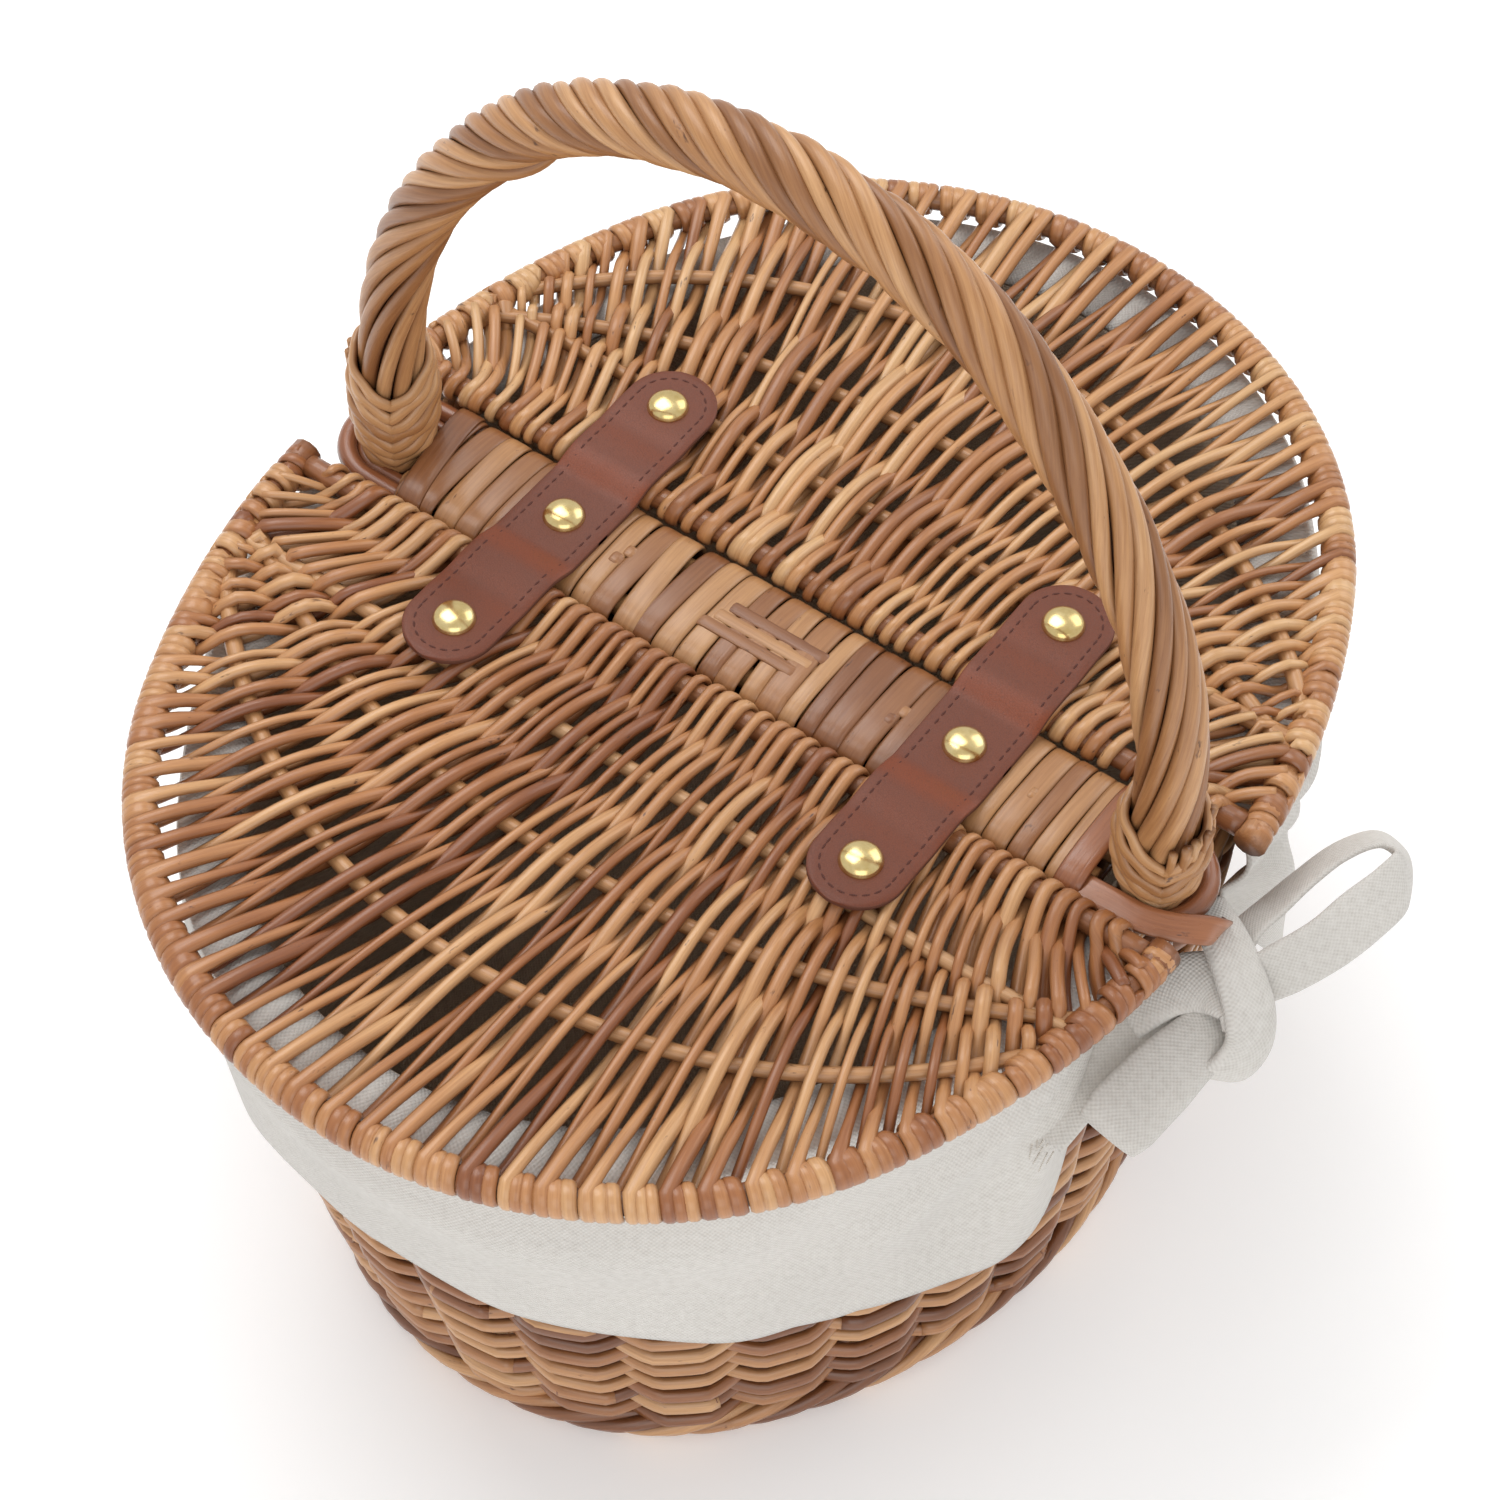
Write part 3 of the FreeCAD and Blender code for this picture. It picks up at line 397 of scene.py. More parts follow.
def make_materials():
    """Every finish by name; the willow tones run from a rod's darkest to its lightest."""
    honey = [(150, 102, 62), (170, 120, 76), (187, 137, 89), (199, 150, 102), (209, 164, 117)]
    reddish = [(144, 87, 51), (168, 109, 65), (186, 129, 82), (200, 146, 97), (213, 165, 115)]
    paler = [(152, 97, 58), (177, 120, 74), (196, 141, 91), (209, 158, 107), (218, 175, 125)]
    deep = [(124, 76, 45), (152, 98, 60), (176, 122, 78), (194, 143, 96), (209, 162, 114)]
    skein = [(135, 86, 52), (153, 103, 64), (168, 118, 76), (180, 131, 86), (191, 144, 98)]
    dark = [(84, 50, 34), (112, 70, 48), (136, 90, 62)]
    return {
        "front_lid": willow("willow_front_lid", reddish),
        "back_lid": willow("willow_back_lid", paler),
        "lid_rod": willow("willow_lid_rod", deep, knots=0.8),
        "rib": willow("willow_rib", honey, coat=0.2),
        # The handle and the skein get their own colour of painted shade for their creases.
        "handle": willow("willow_handle", honey, rough=0.42, coat=0.22, streak=0.6, painted_shade=(120, 80, 58)),
        "core": willow("willow_core", dark, coat=0.0, rough=0.6),
        "bar": willow("willow_skein", skein, rough=0.34, coat=0.3, streak=0.45, painted_shade=(84, 54, 38)),
        "body": willow("willow_body", deep, rough=0.34, coat=0.4),
        "tie": willow("willow_tie", [(122, 70, 42), (150, 92, 58), (172, 112, 74)], rough=0.3, coat=0.45),
        "collar": willow("willow_collar", honey, rough=0.36, coat=0.3),
        "leather": leather("leather", (104, 51, 29), (127, 59, 27)),
        "edge": leather("leather_edge", (98, 58, 44), (112, 68, 50), rough=0.75),
        "thread": plain_thread("strap_thread", (92, 46, 34)),
        "brass": brass("brass"),
        "canvas": canvas("canvas", (1.0, 1.0, 1.0)),
        # Painted shade: the inside lining is the same canvas tinted darker and warmer, standing in for the
        # brown shade inside the basket.
        "canvas_inside_shaded": canvas("canvas_inside_shaded", (0.98, 0.83, 0.68)),
        "fray": plain_thread("canvas_fray", (226, 219, 208)),
    }


def leather(name, low, high, rough=0.42):
    """Smooth grained leather, a little lighter and warmer where the strap bends."""
    n = Nodes(name)
    place = n.add("ShaderNodeTexCoord").outputs["Object"]
    cloud = n.noise(n.scaled(place, (70, 45, 70)), 1.0, 3.0, 0.6)
    tone = n.attribute("tone").outputs["Fac"]
    shade = n.math("ADD", n.math("MULTIPLY", cloud, 0.45), n.math("MULTIPLY", tone, 0.75))
    colour = n.ramp(shade, [(0.15, srgb(*low)), (0.85, srgb(*high))])
    pores = n.add("ShaderNodeTexVoronoi", feature="DISTANCE_TO_EDGE")
    pores.inputs["Scale"].default_value = 1400.0
    n.link(place, pores.inputs["Vector"])
    crease = n.ramp(pores.outputs["Distance"], [(0.0, 0.0), (0.12, 1.0)])
    colour = n.mix("MULTIPLY", 0.25, colour, crease)
    n.link(colour, n.shader.inputs["Base Color"])
    fine = n.noise(n.scaled(place, (900, 900, 900)), 1.0, 2.0)
    n.bump(n.math("ADD", crease, fine), 0.18, 0.0002)
    n.link(n.math("ADD", n.math("MULTIPLY", cloud, 0.15), rough - 0.05), n.shader.inputs["Roughness"])
    n.set(Specular_IOR_Level=0.45)
    return n.material


def plain_thread(name, colour):
    """Twisted sewing thread."""
    n = Nodes(name)
    grain = n.attribute("grain").outputs["Vector"]
    twist = n.add("ShaderNodeTexWave")
    twist.inputs["Scale"].default_value = 0.6
    n.link(grain, twist.inputs["Vector"])
    tint = n.ramp(twist.outputs["Fac"], [(0.0, srgb(*[0.8 * part for part in colour])), (1.0, srgb(*colour))])
    n.link(tint, n.shader.inputs["Base Color"])
    n.bump(twist.outputs["Fac"], 0.3, 0.0001)
    n.set(Roughness=0.8)
    return n.material


def brass(name):
    """Polished brass with faint turned marks and smudges."""
    n = Nodes(name)
    place = n.add("ShaderNodeTexCoord").outputs["Object"]
    smudge = n.noise(n.scaled(place, (260, 260, 260)), 1.0, 4.0, 0.6)
    colour = n.ramp(smudge, [(0.3, srgb(222, 194, 128)), (0.7, srgb(238, 216, 160))])
    n.link(colour, n.shader.inputs["Base Color"])
    n.link(n.math("ADD", n.math("MULTIPLY", smudge, 0.12), 0.17), n.shader.inputs["Roughness"])
    scratch = n.noise(n.scaled(place, (4000, 300, 300)), 1.0, 2.0)
    n.bump(scratch, 0.05, 0.0001)
    n.set(Metallic=1.0)
    return n.material


THREAD_PITCH = 1.35          # of the canvas, from one thread to the next but one


def canvas(name, tint):
    """Unbleached plain-weave cotton canvas; grain holds distances along the warp and the weft."""
    n = Nodes(name)
    grain = n.attribute("grain").outputs["Vector"]
    parts = n.add("ShaderNodeSeparateXYZ")
    n.link(grain, parts.inputs["Vector"])
    pitch = 2 * math.pi / THREAD_PITCH
    warp = n.math("SINE", n.math("MULTIPLY", parts.outputs["X"], pitch))
    across = n.math("ADD", parts.outputs["Y"], parts.outputs["Z"])
    weft = n.math("SINE", n.math("MULTIPLY", across, pitch))
    check = n.math("MULTIPLY", warp, weft)
    uneven = n.noise(n.scaled(grain, (0.45, 0.45, 0.45)), 1.0, 3.0, 0.6)
    cloud = n.noise(n.scaled(grain, (0.02, 0.02, 0.02)), 1.0, 3.0, 0.6)
    shade = n.math("ADD", n.math("MULTIPLY", check, 0.1), n.math("ADD", n.math("MULTIPLY", uneven, 0.4), 0.3))
    stops = []
    for stop, thread in ((0.2, (181, 175, 168)), (0.5, (209, 205, 199)), (0.8, (223, 220, 215))):
        stops.append((stop, tuple(a * b for a, b in zip(tint, srgb(*thread)))))
    colour = n.ramp(shade, stops)
    colour = n.mix("MULTIPLY", 0.35, colour, n.ramp(cloud, [(0.3, 0.88), (0.6, 1.0)]))
    n.link(colour, n.shader.inputs["Base Color"])
    n.bump(n.math("ADD", n.math("MULTIPLY", check, 0.5), uneven), 0.6, 0.0003)
    n.set(Roughness=0.92, Sheen_Weight=0.12, Sheen_Roughness=0.5, Specular_IOR_Level=0.2)
    return n.material


# The lids -----------------------------------------------------------------------------------

STRANDS = 52                 # rods woven across each lid; each crosses it twice
STRAND_RADII = (1.35, 2.3)   # the thinnest and the thickest of them
CHORD_CORE = 3.5
FRAME_CORE = 3.2
WRAP_THICK = 0.85
WRAP_DOME = 1.15             # a wrap's half thickness on the bent rod
WRAP_PITCH = 5.6             # along the bent rod, between one turn and the next
WRAP_COVER = 0.86            # the share of its pitch that a wrap covers
TURN_SAMPLES = 16            # points in one turn of a wrap
CHORD_BARE = 5.5             # at each end of the straight rod, past the last strand
LID_SWELL = 4.5              # how much wider the hand-bent lids are than the frame's four arcs
LID_FULLNESS = 0.918         # and how full their shoulders are
CORNER = 9.0                 # along the bent rod, kept for the binding of each corner
LID_OVAL = Oval(LID_HALF_WIDTH + LID_SWELL - LID_ROD, LID_HALF_LENGTH - LID_ROD, LID_FULLNESS)
LID_START, LID_STOP = LID_OVAL.front_span(LID_EDGE)
CHORD_HALF = box("front_lid_chord")[1][0] + LID_SWELL


def rib_depth(rib, x):
    """How deep a rib of the front lid lies at each x: the inner one is straight, the others are bent."""
    if rib == "inner":
        return np.full_like(x, RIB_DEPTH)
    low, high = box("front_lid_rib_" + rib)
    reach, depth, end = high[0], -low[1] - RIB_RADIUS, -high[1] + RIB_RADIUS * 0.8
    radius = (reach ** 2 + (depth - end) ** 2) / (2 * (depth - end))
    return depth - radius + np.sqrt(np.maximum(radius ** 2 - x ** 2, 0))


def rib_reach(rib):
    """How far from the middle a rib meets the bent rod."""
    line = LID_OVAL.at(np.linspace((LID_START + LID_STOP) / 2, LID_STOP, 400))[0]
    x = np.linspace(0, line[-1, 0], 300)
    return x[rib_depth(rib, x) < -np.interp(x, line[:, 0], line[:, 1])][-1]


RIB_ENDS = {rib: rib_reach(rib) for rib in ("inner", "middle", "outer")}


def rib_crossings(path):
    """Where along a row it crosses each rib, as shares of its samples."""
    x, depth = path[:, 0], -path[:, 1]
    share = np.linspace(0, 1, len(path))
    found = []
    for rib, reach in RIB_ENDS.items():
        beyond = depth > rib_depth(rib, x)
        step = np.flatnonzero(beyond[1:] & ~beyond[:-1])
        if len(step) and abs(x[step[0]]) < reach - 2:
            found.append(share[step[0]])
    return sorted(found)


def lid_row(x, travel, top, radius, weave):
    """The path of one crossing, from the chord to the frame, and 1 if it arrives on top, else -1."""
    random = weave.random
    (end_x, end_y), _ = LID_OVAL.at(travel)
    start = np.array([x, -CHORD_Y])
    end = np.array([end_x, end_y])
    bend = np.array([x + random.normal(0, 0.6), -CHORD_Y + 0.32 * (end_y + CHORD_Y)])
    count = max(16, int(abs(end_y + CHORD_Y) / 3.6) + 10)
    t = np.linspace(0, 1, count)[:, None]
    plan = (1 - t) ** 2 * start + 2 * t * (1 - t) * bend + t ** 2 * end
    knots = [0.0] + rib_crossings(plan) + [1.0]
    phase = np.interp(t[:, 0], knots, range(len(knots)))
    lift = [RIB_RADIUS + radius * 0.8] * (len(knots) - 2)
    lift = [CHORD_CORE + WRAP_THICK] + lift + [FRAME_CORE + WRAP_THICK]
    size = np.interp(phase, range(len(lift)), lift)
    sign = 1 if top else -1
    height = sign * size * np.cos(np.pi * phase)
    size = random.normal(0, 0.25)
    wobble = size * np.sin(np.pi * t[:, 0] * random.uniform(1.5, 3.5) + random.uniform(0, 6))
    wobble = wobble * np.sin(np.pi * t[:, 0])
    side = unit(np.gradient(plan, axis=0))[:, ::-1] * np.array([-1, 1])
    plan = plan + side * wobble[:, None]
    path = np.column_stack([plan, LID_LEVEL + height])
    ends = sign if (len(knots) - 1) % 2 == 0 else -sign
    return path, ends


def wrap_frame(start_travel, length, turns, start_top):
    """Turns of a rod round the lid's bent rod, going over its outer side first."""
    steps = int(turns * TURN_SAMPLES)
    share = np.linspace(0, 1, steps)
    travel = start_travel + share * length
    angle = start_top * (np.pi / 2 - 2 * np.pi * turns * share)
    centre, out = LID_OVAL.at(travel)
    outward = np.column_stack([out * np.cos(angle)[:, None], np.sin(angle)])
    middle = np.column_stack([centre, np.full(steps, LID_LEVEL)])
    return middle + (FRAME_CORE + WRAP_THICK) * outward, outward


def lid_strand(weave, x, x_back, travel, travel_back, zone):
    """A rod that wraps the frame, crosses to the chord, wraps it once and crosses back."""
    random = weave.random
    radius = random.uniform(*STRAND_RADII)
    there, arrives = lid_row(x, travel, True, radius, weave)
    back, _ = lid_row(x_back, travel_back, False, radius, weave)
    bands = max(1, round(zone / WRAP_PITCH))
    turns = bands + 0.35
    wraps, wrap_normals = wrap_frame(travel, zone * (1 - 1 / (turns + 1)), turns, arrives)
    angle = np.linspace(np.pi / 2, -np.pi / 2, 10)[1:-1]
    hook_radius = CHORD_CORE + WRAP_THICK
    hook = np.column_stack([
        np.interp(angle, [-np.pi / 2, np.pi / 2], [x_back, x]),
        -CHORD_Y + hook_radius * np.cos(angle),
        LID_LEVEL + hook_radius * np.sin(angle)])
    hook_normals = np.column_stack([np.zeros(8), np.cos(angle), np.sin(angle)])
    path = np.concatenate([wraps[::-1], there[::-1][1:], hook, back])
    first = len(wraps) + len(there) - 1
    flat = np.zeros(len(path))
    flat[:len(wraps)] = 1
    flat[first:first + len(hook)] = 0.8
    flat = np.convolve(np.pad(flat, 4, mode="edge"), np.hanning(9) / np.hanning(9).sum(), "same")[4:-4]
    normal = np.concatenate([
        wrap_normals[::-1], np.tile(UP * arrives, (len(there) - 1, 1)), hook_normals,
        np.tile(-UP, (len(back), 1))])
    swing = np.linspace(arrives, 1, len(there) - 1)
    if arrives < 0:
        turned = np.column_stack([np.zeros(len(swing)), np.ones(len(swing)) * 0.4, swing])
        normal[len(wraps):len(wraps) + len(there) - 1] = unit(turned)
    taper = np.linspace(1.08, 0.86, len(path))
    wrap_half = 0.5 * zone / bands * WRAP_COVER
    along = np.arange(len(path))
    dome = np.interp(along, [0, len(wraps), first], [WRAP_DOME, WRAP_DOME, WRAP_THICK])
    thick = (1 - flat) * radius * 0.9 * taper + flat * dome
    wide = (1 - flat) * radius * 1.08 * taper + flat * np.where(along < first - 5, wrap_half, radius * 1.15)
    places = np.arange(0, len(path) + 16, 16)
    tone = random.uniform(0.1, 1) + np.interp(along, places, random.normal(0, 0.24, len(places)))
    weave.rod(path, normal, thick, wide, tone=np.clip(tone, 0, 1), two_sided=True)


def make_lid(lid, flip, drift, seed):
    """Weave one lid in the front lid's place, then turn it round for the back lid."""
    weave = Weave(seed)
    random = weave.random
    span = LID_STOP - LID_START
    share = (np.arange(STRANDS) + 0.4) / STRANDS + random.normal(0, 0.0022, STRANDS)
    share_back = share + 0.5 / STRANDS
    reach = CHORD_HALF - CHORD_BARE

    def travel(f):
        return LID_START + CORNER + (span - 2 * CORNER) * (f + drift * np.sin(np.pi * f))

    bounds = np.append(travel(share), LID_STOP - 5)
    for index in range(STRANDS):
        f, g = share[index], min(share_back[index], 0.995)
        lid_strand(weave, -reach + 2 * reach * f, -reach + 2 * reach * g, travel(f), travel(g),
                   bounds[index + 1] - bounds[index])
    corner_wraps(weave, bounds[0])
    weave.place(lid + "_weaving", lid, lid, "willow_lid", lid + "_weave", flip)

    rods = Weave(seed + 1)
    travels = np.linspace(LID_START + 1, LID_STOP - 1, 150)
    path = np.column_stack([LID_OVAL.at(travels)[0], np.full(150, LID_LEVEL)])
    distance = np.minimum(travels - LID_START, LID_STOP - travels)
    thick = FRAME_CORE + (LID_ROD - FRAME_CORE) * (1 - smooth((distance - 5) / 8))
    rods.rod(path, UP, thick, sides=12)
    rods.place(lid + "_bent_rod", "lid_rod", lid, "willow_rod", lid + "_frame", flip)

    chord = Weave(seed + 2)
    x = np.linspace(-CHORD_HALF - 1, CHORD_HALF + 1, 90)
    wave = 0.35 * np.sin(x * 0.04 + seed)
    thick = CHORD_CORE + 0.25 * np.sin(x * 0.11 + seed)
    chord.rod(np.column_stack([x, wave - CHORD_Y, np.full(90, LID_LEVEL)]), UP, thick, sides=12, tone=0.25)
    chord.place(lid + "_straight_rod", "lid_rod", lid, "willow_rod", lid + "_chord", flip)

    for rib, reach in RIB_ENDS.items():
        ribs = Weave(seed + 3)
        x = np.linspace(-reach, reach, 80)
        depth = rib_depth(rib, x) + 0.6 * np.sin(x * 0.05 + seed + len(rib))
        path = np.column_stack([x, -depth, np.full(80, LID_LEVEL)])
        thick = RIB_RADIUS * np.linspace(1.22, 0.98, 80)
        ribs.rod(path, UP, thick, tone=random.uniform(0.3, 1.0), sides=10)
        ribs.place(lid + "_rib_" + rib, "rib", lid, "willow_rod", lid + "_rib_" + rib, flip)


def corner_wraps(weave, first_travel):
    """Turns that bind the corners, where the bent rod meets the chord."""
    for side in (-1, 1):
        start = LID_START + 4 if side < 0 else LID_STOP - CORNER
        length = first_travel - LID_START - 4 if side < 0 else 6
        wraps, normals = wrap_frame(start, length, max(1.4, length / 4), 1)
        weave.rod(wraps, normals, WRAP_THICK, 2.0)


# The handle ---------------------------------------------------------------------------------

HANDLE_STRANDS = 9
HANDLE_ROD = 2.3             # half thickness of one of its rods
CORE_RADIUS = 5.4
ARCH = Oval(LEG_X, HANDLE_APEX - HANDLE_SPRING, HANDLE_FULLNESS)
ARCH_LENGTH = ARCH.length / 2
LEG_FOOT = 193.0


def handle_line(travel):
    """Centre and outward direction at distances from the foot of the left leg."""
    leg = HANDLE_SPRING - LEG_FOOT
    travel = np.asarray(travel, float)
    round_arch = np.clip(travel - leg, 0, ARCH_LENGTH)
    half = ARCH.lengths[0] / 2
    spot, out = ARCH.at(half + ARCH_LENGTH - round_arch)
    low = np.minimum(travel - leg, 0) + np.minimum(leg + ARCH_LENGTH - travel, 0)
    centre = np.stack([spot[..., 0], np.zeros_like(travel), HANDLE_SPRING + spot[..., 1] + low], -1)
    outward = np.stack([out[..., 0], np.zeros_like(travel), out[..., 1]], -1)
    return centre, outward


def make_handle():
    """Nine rods roped round a core; they lie steeper over the arch than at its feet."""
    total = 2 * (HANDLE_SPRING - LEG_FOOT) + ARCH_LENGTH
    travel = np.linspace(0, total, 330)
    centre, out = handle_line(travel)
    front = np.array([0.0, -1.0, 0.0])
    # How fast the rods turn round the core, in radians to the millimetre, from foot to foot.
    places = np.array([0, 60, 100, 150, 190, 240, 290, 350, total - 90, total])
    rates = [0.012, 0.028, 0.048, 0.078, 0.098, 0.088, 0.074, 0.055, 0.04, 0.02]
    steep = np.interp(travel, places, rates)
    twist = np.concatenate([[0], np.cumsum((steep[1:] + steep[:-1]) / 2 * np.diff(travel))])
    roping = Weave(41)
    for strand in range(HANDLE_STRANDS):
        angle = twist + 2 * np.pi * strand / HANDLE_STRANDS + roping.random.normal(0, 0.03)
        outward = unit(np.cos(angle)[:, None] * out + np.sin(angle)[:, None] * front)
        wander = 0.22 * np.sin(travel * roping.random.uniform(0.02, 0.05) + roping.random.uniform(0, 6))
        ring = HANDLE_RADIUS - 2.45 + wander
        if strand == 3:                  # one rod has sprung a little loose
            ring = ring + 2.2 * np.exp(-((travel - 0.33 * total) / 13) ** 2)
        size = 1 + 0.08 * np.sin(travel * 0.011 + roping.random.uniform(0, 6)) + roping.random.normal(0, 0.05)
        roping.rod(centre + outward * ring[:, None], outward, HANDLE_ROD * size, 2.5 * size, sides=12)
    roping.place("handle_twist", "handle", "basket", "willow_handle", "handle_roping")
    core = Weave(42)
    core.rod(centre[::3], out[::3], CORE_RADIUS, sides=12, tone=0.4)
    core.place("handle_core", "core", "basket", "willow_handle", "handle_bow")
    for side, sign in (("left", -1), ("right", 1)):
        make_collar(side, sign)


def make_collar(side, sign):
    """Fine rods bound round the foot of one leg, meeting in a V at the front, with cut ends."""
    collar = Weave(50 + sign)
    random = collar.random
    foot = LEG_FOOT + 2.5
    facing = 0.62             # radians that the V is turned to the right of the front
    count, tall = (8, 26) if side == "left" else (6, 17)
    angle = np.linspace(0, 2 * np.pi, 80, endpoint=False)
    to_front = np.abs((angle + np.pi) % (2 * np.pi) - np.pi) / np.pi
    rise = np.minimum(to_front / 0.55, 1)
    for number in range(count):
        share = number / (count - 1)
        height = foot + share * (tall + 4 * rise) + 9.0 * rise + 0.5 * np.sin(3 * angle + 2.1 * number)
        ring = HANDLE_RADIUS + 1.0 + 1.6 * np.sin(np.pi * share) + 0.35 * np.sin(7 * angle + 2.4 * number)
        out = np.stack([np.sin(angle + facing), -np.cos(angle + facing), np.zeros_like(angle)], -1)
        path = np.stack([sign * LEG_X + ring * out[:, 0], ring * out[:, 1], height], -1)
        half = 0.56 * (tall + 4 * rise) / (count - 1)
        collar.rod(path, out, 1.35, half, tone=0.35 + 0.6 * random.uniform(), sides=10, closed=True)
    for number in range(8):               # the cut ends that stand up round its outer side
        turn = math.radians(-48 + 17 * number)
        out = np.array([sign * math.cos(turn), math.sin(turn), 0.0])
        low = np.array([sign * LEG_X, 0, foot + 8]) + out * (HANDLE_RADIUS + 0.6)
        tip = low + np.array([0, 0, tall + random.uniform(1, 7)]) + out * random.uniform(0.6, 2.2)
        share = np.linspace(0, 1, 6)[:, None]
        collar.rod(low + (tip - low) * share, out, random.uniform(1.2, 1.6), sides=8)
    collar.place("handle_binding_" + side, "collar", "basket", "willow_handle", "handle_collar_" + side)


# The crossbar -------------------------------------------------------------------------------

BAR_SAMPLES = 44             # points in one turn round the bar
SKEIN_THICK = 0.75
SKEIN_WIDTHS = (5.6, 9.0)    # the narrowest and the widest turn
LOOPS = ((3.1, 0.6, -3.0), (2.3, -4.4, -4.0))      # radius, shift outward and shift up of each end loop


def bar_section(share, grow=0.0):
    """The bar's domed section at shares of a turn: points (y, z) and outward directions."""
    angle = 2 * np.pi * share
    power = 2 / 2.7
    y = np.sign(np.cos(angle)) * np.abs(np.cos(angle)) ** power * (BAR_HALF_WIDTH + grow)
    z = np.sign(np.sin(angle)) * np.abs(np.sin(angle)) ** power * (BAR_TOP - BAR_MIDDLE - 0.1 + grow)
    out = unit(np.stack([np.cos(angle) * 0.35, np.sin(angle)], -1))
    return np.stack([y, BAR_MIDDLE + z], -1), out


def make_crossbar():
    """Flat skein wrapped round the sticks, with two strips woven along the top."""
    wrap = Weave(61)
    random = wrap.random
    edges = [-BAR_HALF]
    while edges[-1] < BAR_HALF - 7:
        edges.append(edges[-1] + random.uniform(*SKEIN_WIDTHS))
    edges[-1] = BAR_HALF
    share = (np.arange(BAR_SAMPLES) + 0.5) / BAR_SAMPLES
    spots, out = bar_section(share)
    outward = np.column_stack([np.zeros(BAR_SAMPLES), out])
    for left, right in zip(edges[:-1], edges[1:]):
        middle, half = (left + right) / 2, (right - left) / 2
        skew = random.normal(0, 0.5)
        rise = random.uniform(-0.12, 0.2)
        x = middle + skew * spots[:, 0] / BAR_HALF_WIDTH
        path = np.column_stack([x, spots + out * rise])
        wrap.rod(path, outward, SKEIN_THICK, half * 0.98, sides=12, square=0.62, closed=True)
    wrap.place("crossbar_skein", "bar", "basket", "willow_skein", "crossbar_wrap")

    listing = Weave(62)
    # Each strip shows over these turns of the skein, at these places across the bar.
    spans = ((-15, 21, (-5.6, -1.2, 3.2)), (-51, -45, (-2.0, 2.2)), (45, 51, (-3.0, 1.2)), (90, 95, (-1.0,)))
    for start, stop, places in spans:
        for y in places:
            x = np.linspace(start, stop, 30) + 0.5 * y
            share = (x - x[0]) / (x[-1] - x[0])
            ends = smooth(share * (stop - start) / 2.5) * smooth((1 - share) * (stop - start) / 2.5)
            path = np.column_stack([x, np.full(30, y), BAR_TOP - 0.75 + 1.15 * ends])
            listing.rod(path, UP, 0.5, 2.15, sides=10, square=0.75)
    listing.place("crossbar_strips", "bar", "basket", "willow_skein", "crossbar_listing")

    sticks = Weave(63)
    for y in (-11, 0, 11):
        x = np.linspace(-BAR_HALF - 1.2, BAR_HALF + 1.2, 40)
        sticks.rod(np.column_stack([x, np.full(40, y), np.full(40, BAR_MIDDLE)]), UP, 3.5, sides=10)
    sticks.place("crossbar_inner_sticks", "rib", "basket", "willow_skein", "crossbar_sticks")
    for side, sign in (("left", -1), ("right", 1)):
        make_bar_end(side, sign)


def make_bar_end(side, sign):
    """The rods that turn round the leg, and the flat skein that ties them to the bar."""
    low, high = box("crossbar_end_" + side)
    bend = high[1] - 4
    z = (low[2] + high[2]) / 2
    centre = LEG_X - 2
    angle = np.linspace(-np.pi / 2, np.pi / 2, 30)
    ends = Weave(70 + sign)
    for radius, shift, rise in LOOPS:
        ring = bend + shift
        line = np.linspace(BAR_HALF - 6, centre, 8)[:-1]
        path = np.concatenate([
            np.column_stack([line, np.full(7, -ring), np.full(7, z + rise)]),
            np.column_stack([centre + ring * np.cos(angle), ring * np.sin(angle), np.full(30, z + rise)]),
            np.column_stack([line[::-1], np.full(7, ring), np.full(7, z + rise)])])
        path[:, 0] *= sign
        ends.rod(path, UP, radius, sides=10, tone=0.5)
    ends.place("crossbar_loop_" + side, "tie", "basket", "willow_skein", "crossbar_end_" + side)

    lashing = Weave(80 + sign)
    share = (np.arange(BAR_SAMPLES) + 0.5) / BAR_SAMPLES
    spots, out = bar_section(share, 0.9)
    slant = 0.16 if sign < 0 else 0.0
    path = np.column_stack([sign * (BAR_HALF - 3.4) - slant * spots[:, 0], spots])
    outward = np.column_stack([np.zeros(BAR_SAMPLES), out])
    lashing.rod(path, outward, 0.6, 4.2, sides=10, square=0.6, closed=True)
    if sign > 0:                          # the right one runs on, over the rim's end and under it
        strip = [(BAR_HALF - 8, -13.0, 196.0), (BAR_HALF, -16.6, 199.2), (BAR_HALF + 10, -17.0, 200.2),
                 (BAR_HALF + 19, -17.0, 200.6), (BAR_HALF + 27, -14.5, 200.6), (BAR_HALF + 34, -9.5, 199.2),
                 (BAR_HALF + 36.5, -4.5, 194.6), (BAR_HALF + 34, -1.0, 190.0), (BAR_HALF + 27, 1.0, 188.0)]
        normals = [(0, -0.1, 1), (0, -0.2, 1), (0, -0.25, 1), (0, -0.3, 1), (0.15, -0.35, 1),
                   (0.5, -0.4, 0.8), (0.95, -0.3, 0.1), (0.6, -0.1, -0.8), (0, 0, -1)]
        lashing.rod(smooth_line(strip, 50), unit(smooth_line(normals, 50)), 0.55, 4.1, tone=0.8, sides=10,
                    square=0.5)
    finish = "tie" if sign > 0 else "bar"
    lashing.place("crossbar_tie_" + side, finish, "basket", "willow_skein", "crossbar_lashing_" + side)


# The body -----------------------------------------------------------------------------------

STAKES = 30
WALL_ROWS = 31
WALL_RADII = (2.0, 2.6)      # the thinnest and the thickest rod
WEAVE_SWING = 4.1            # how far a rod swings to either side of the wall's middle
FOOT_DRIFT = np.array([5.5, -0.7])   # how far the foot has drifted off the rim's centre


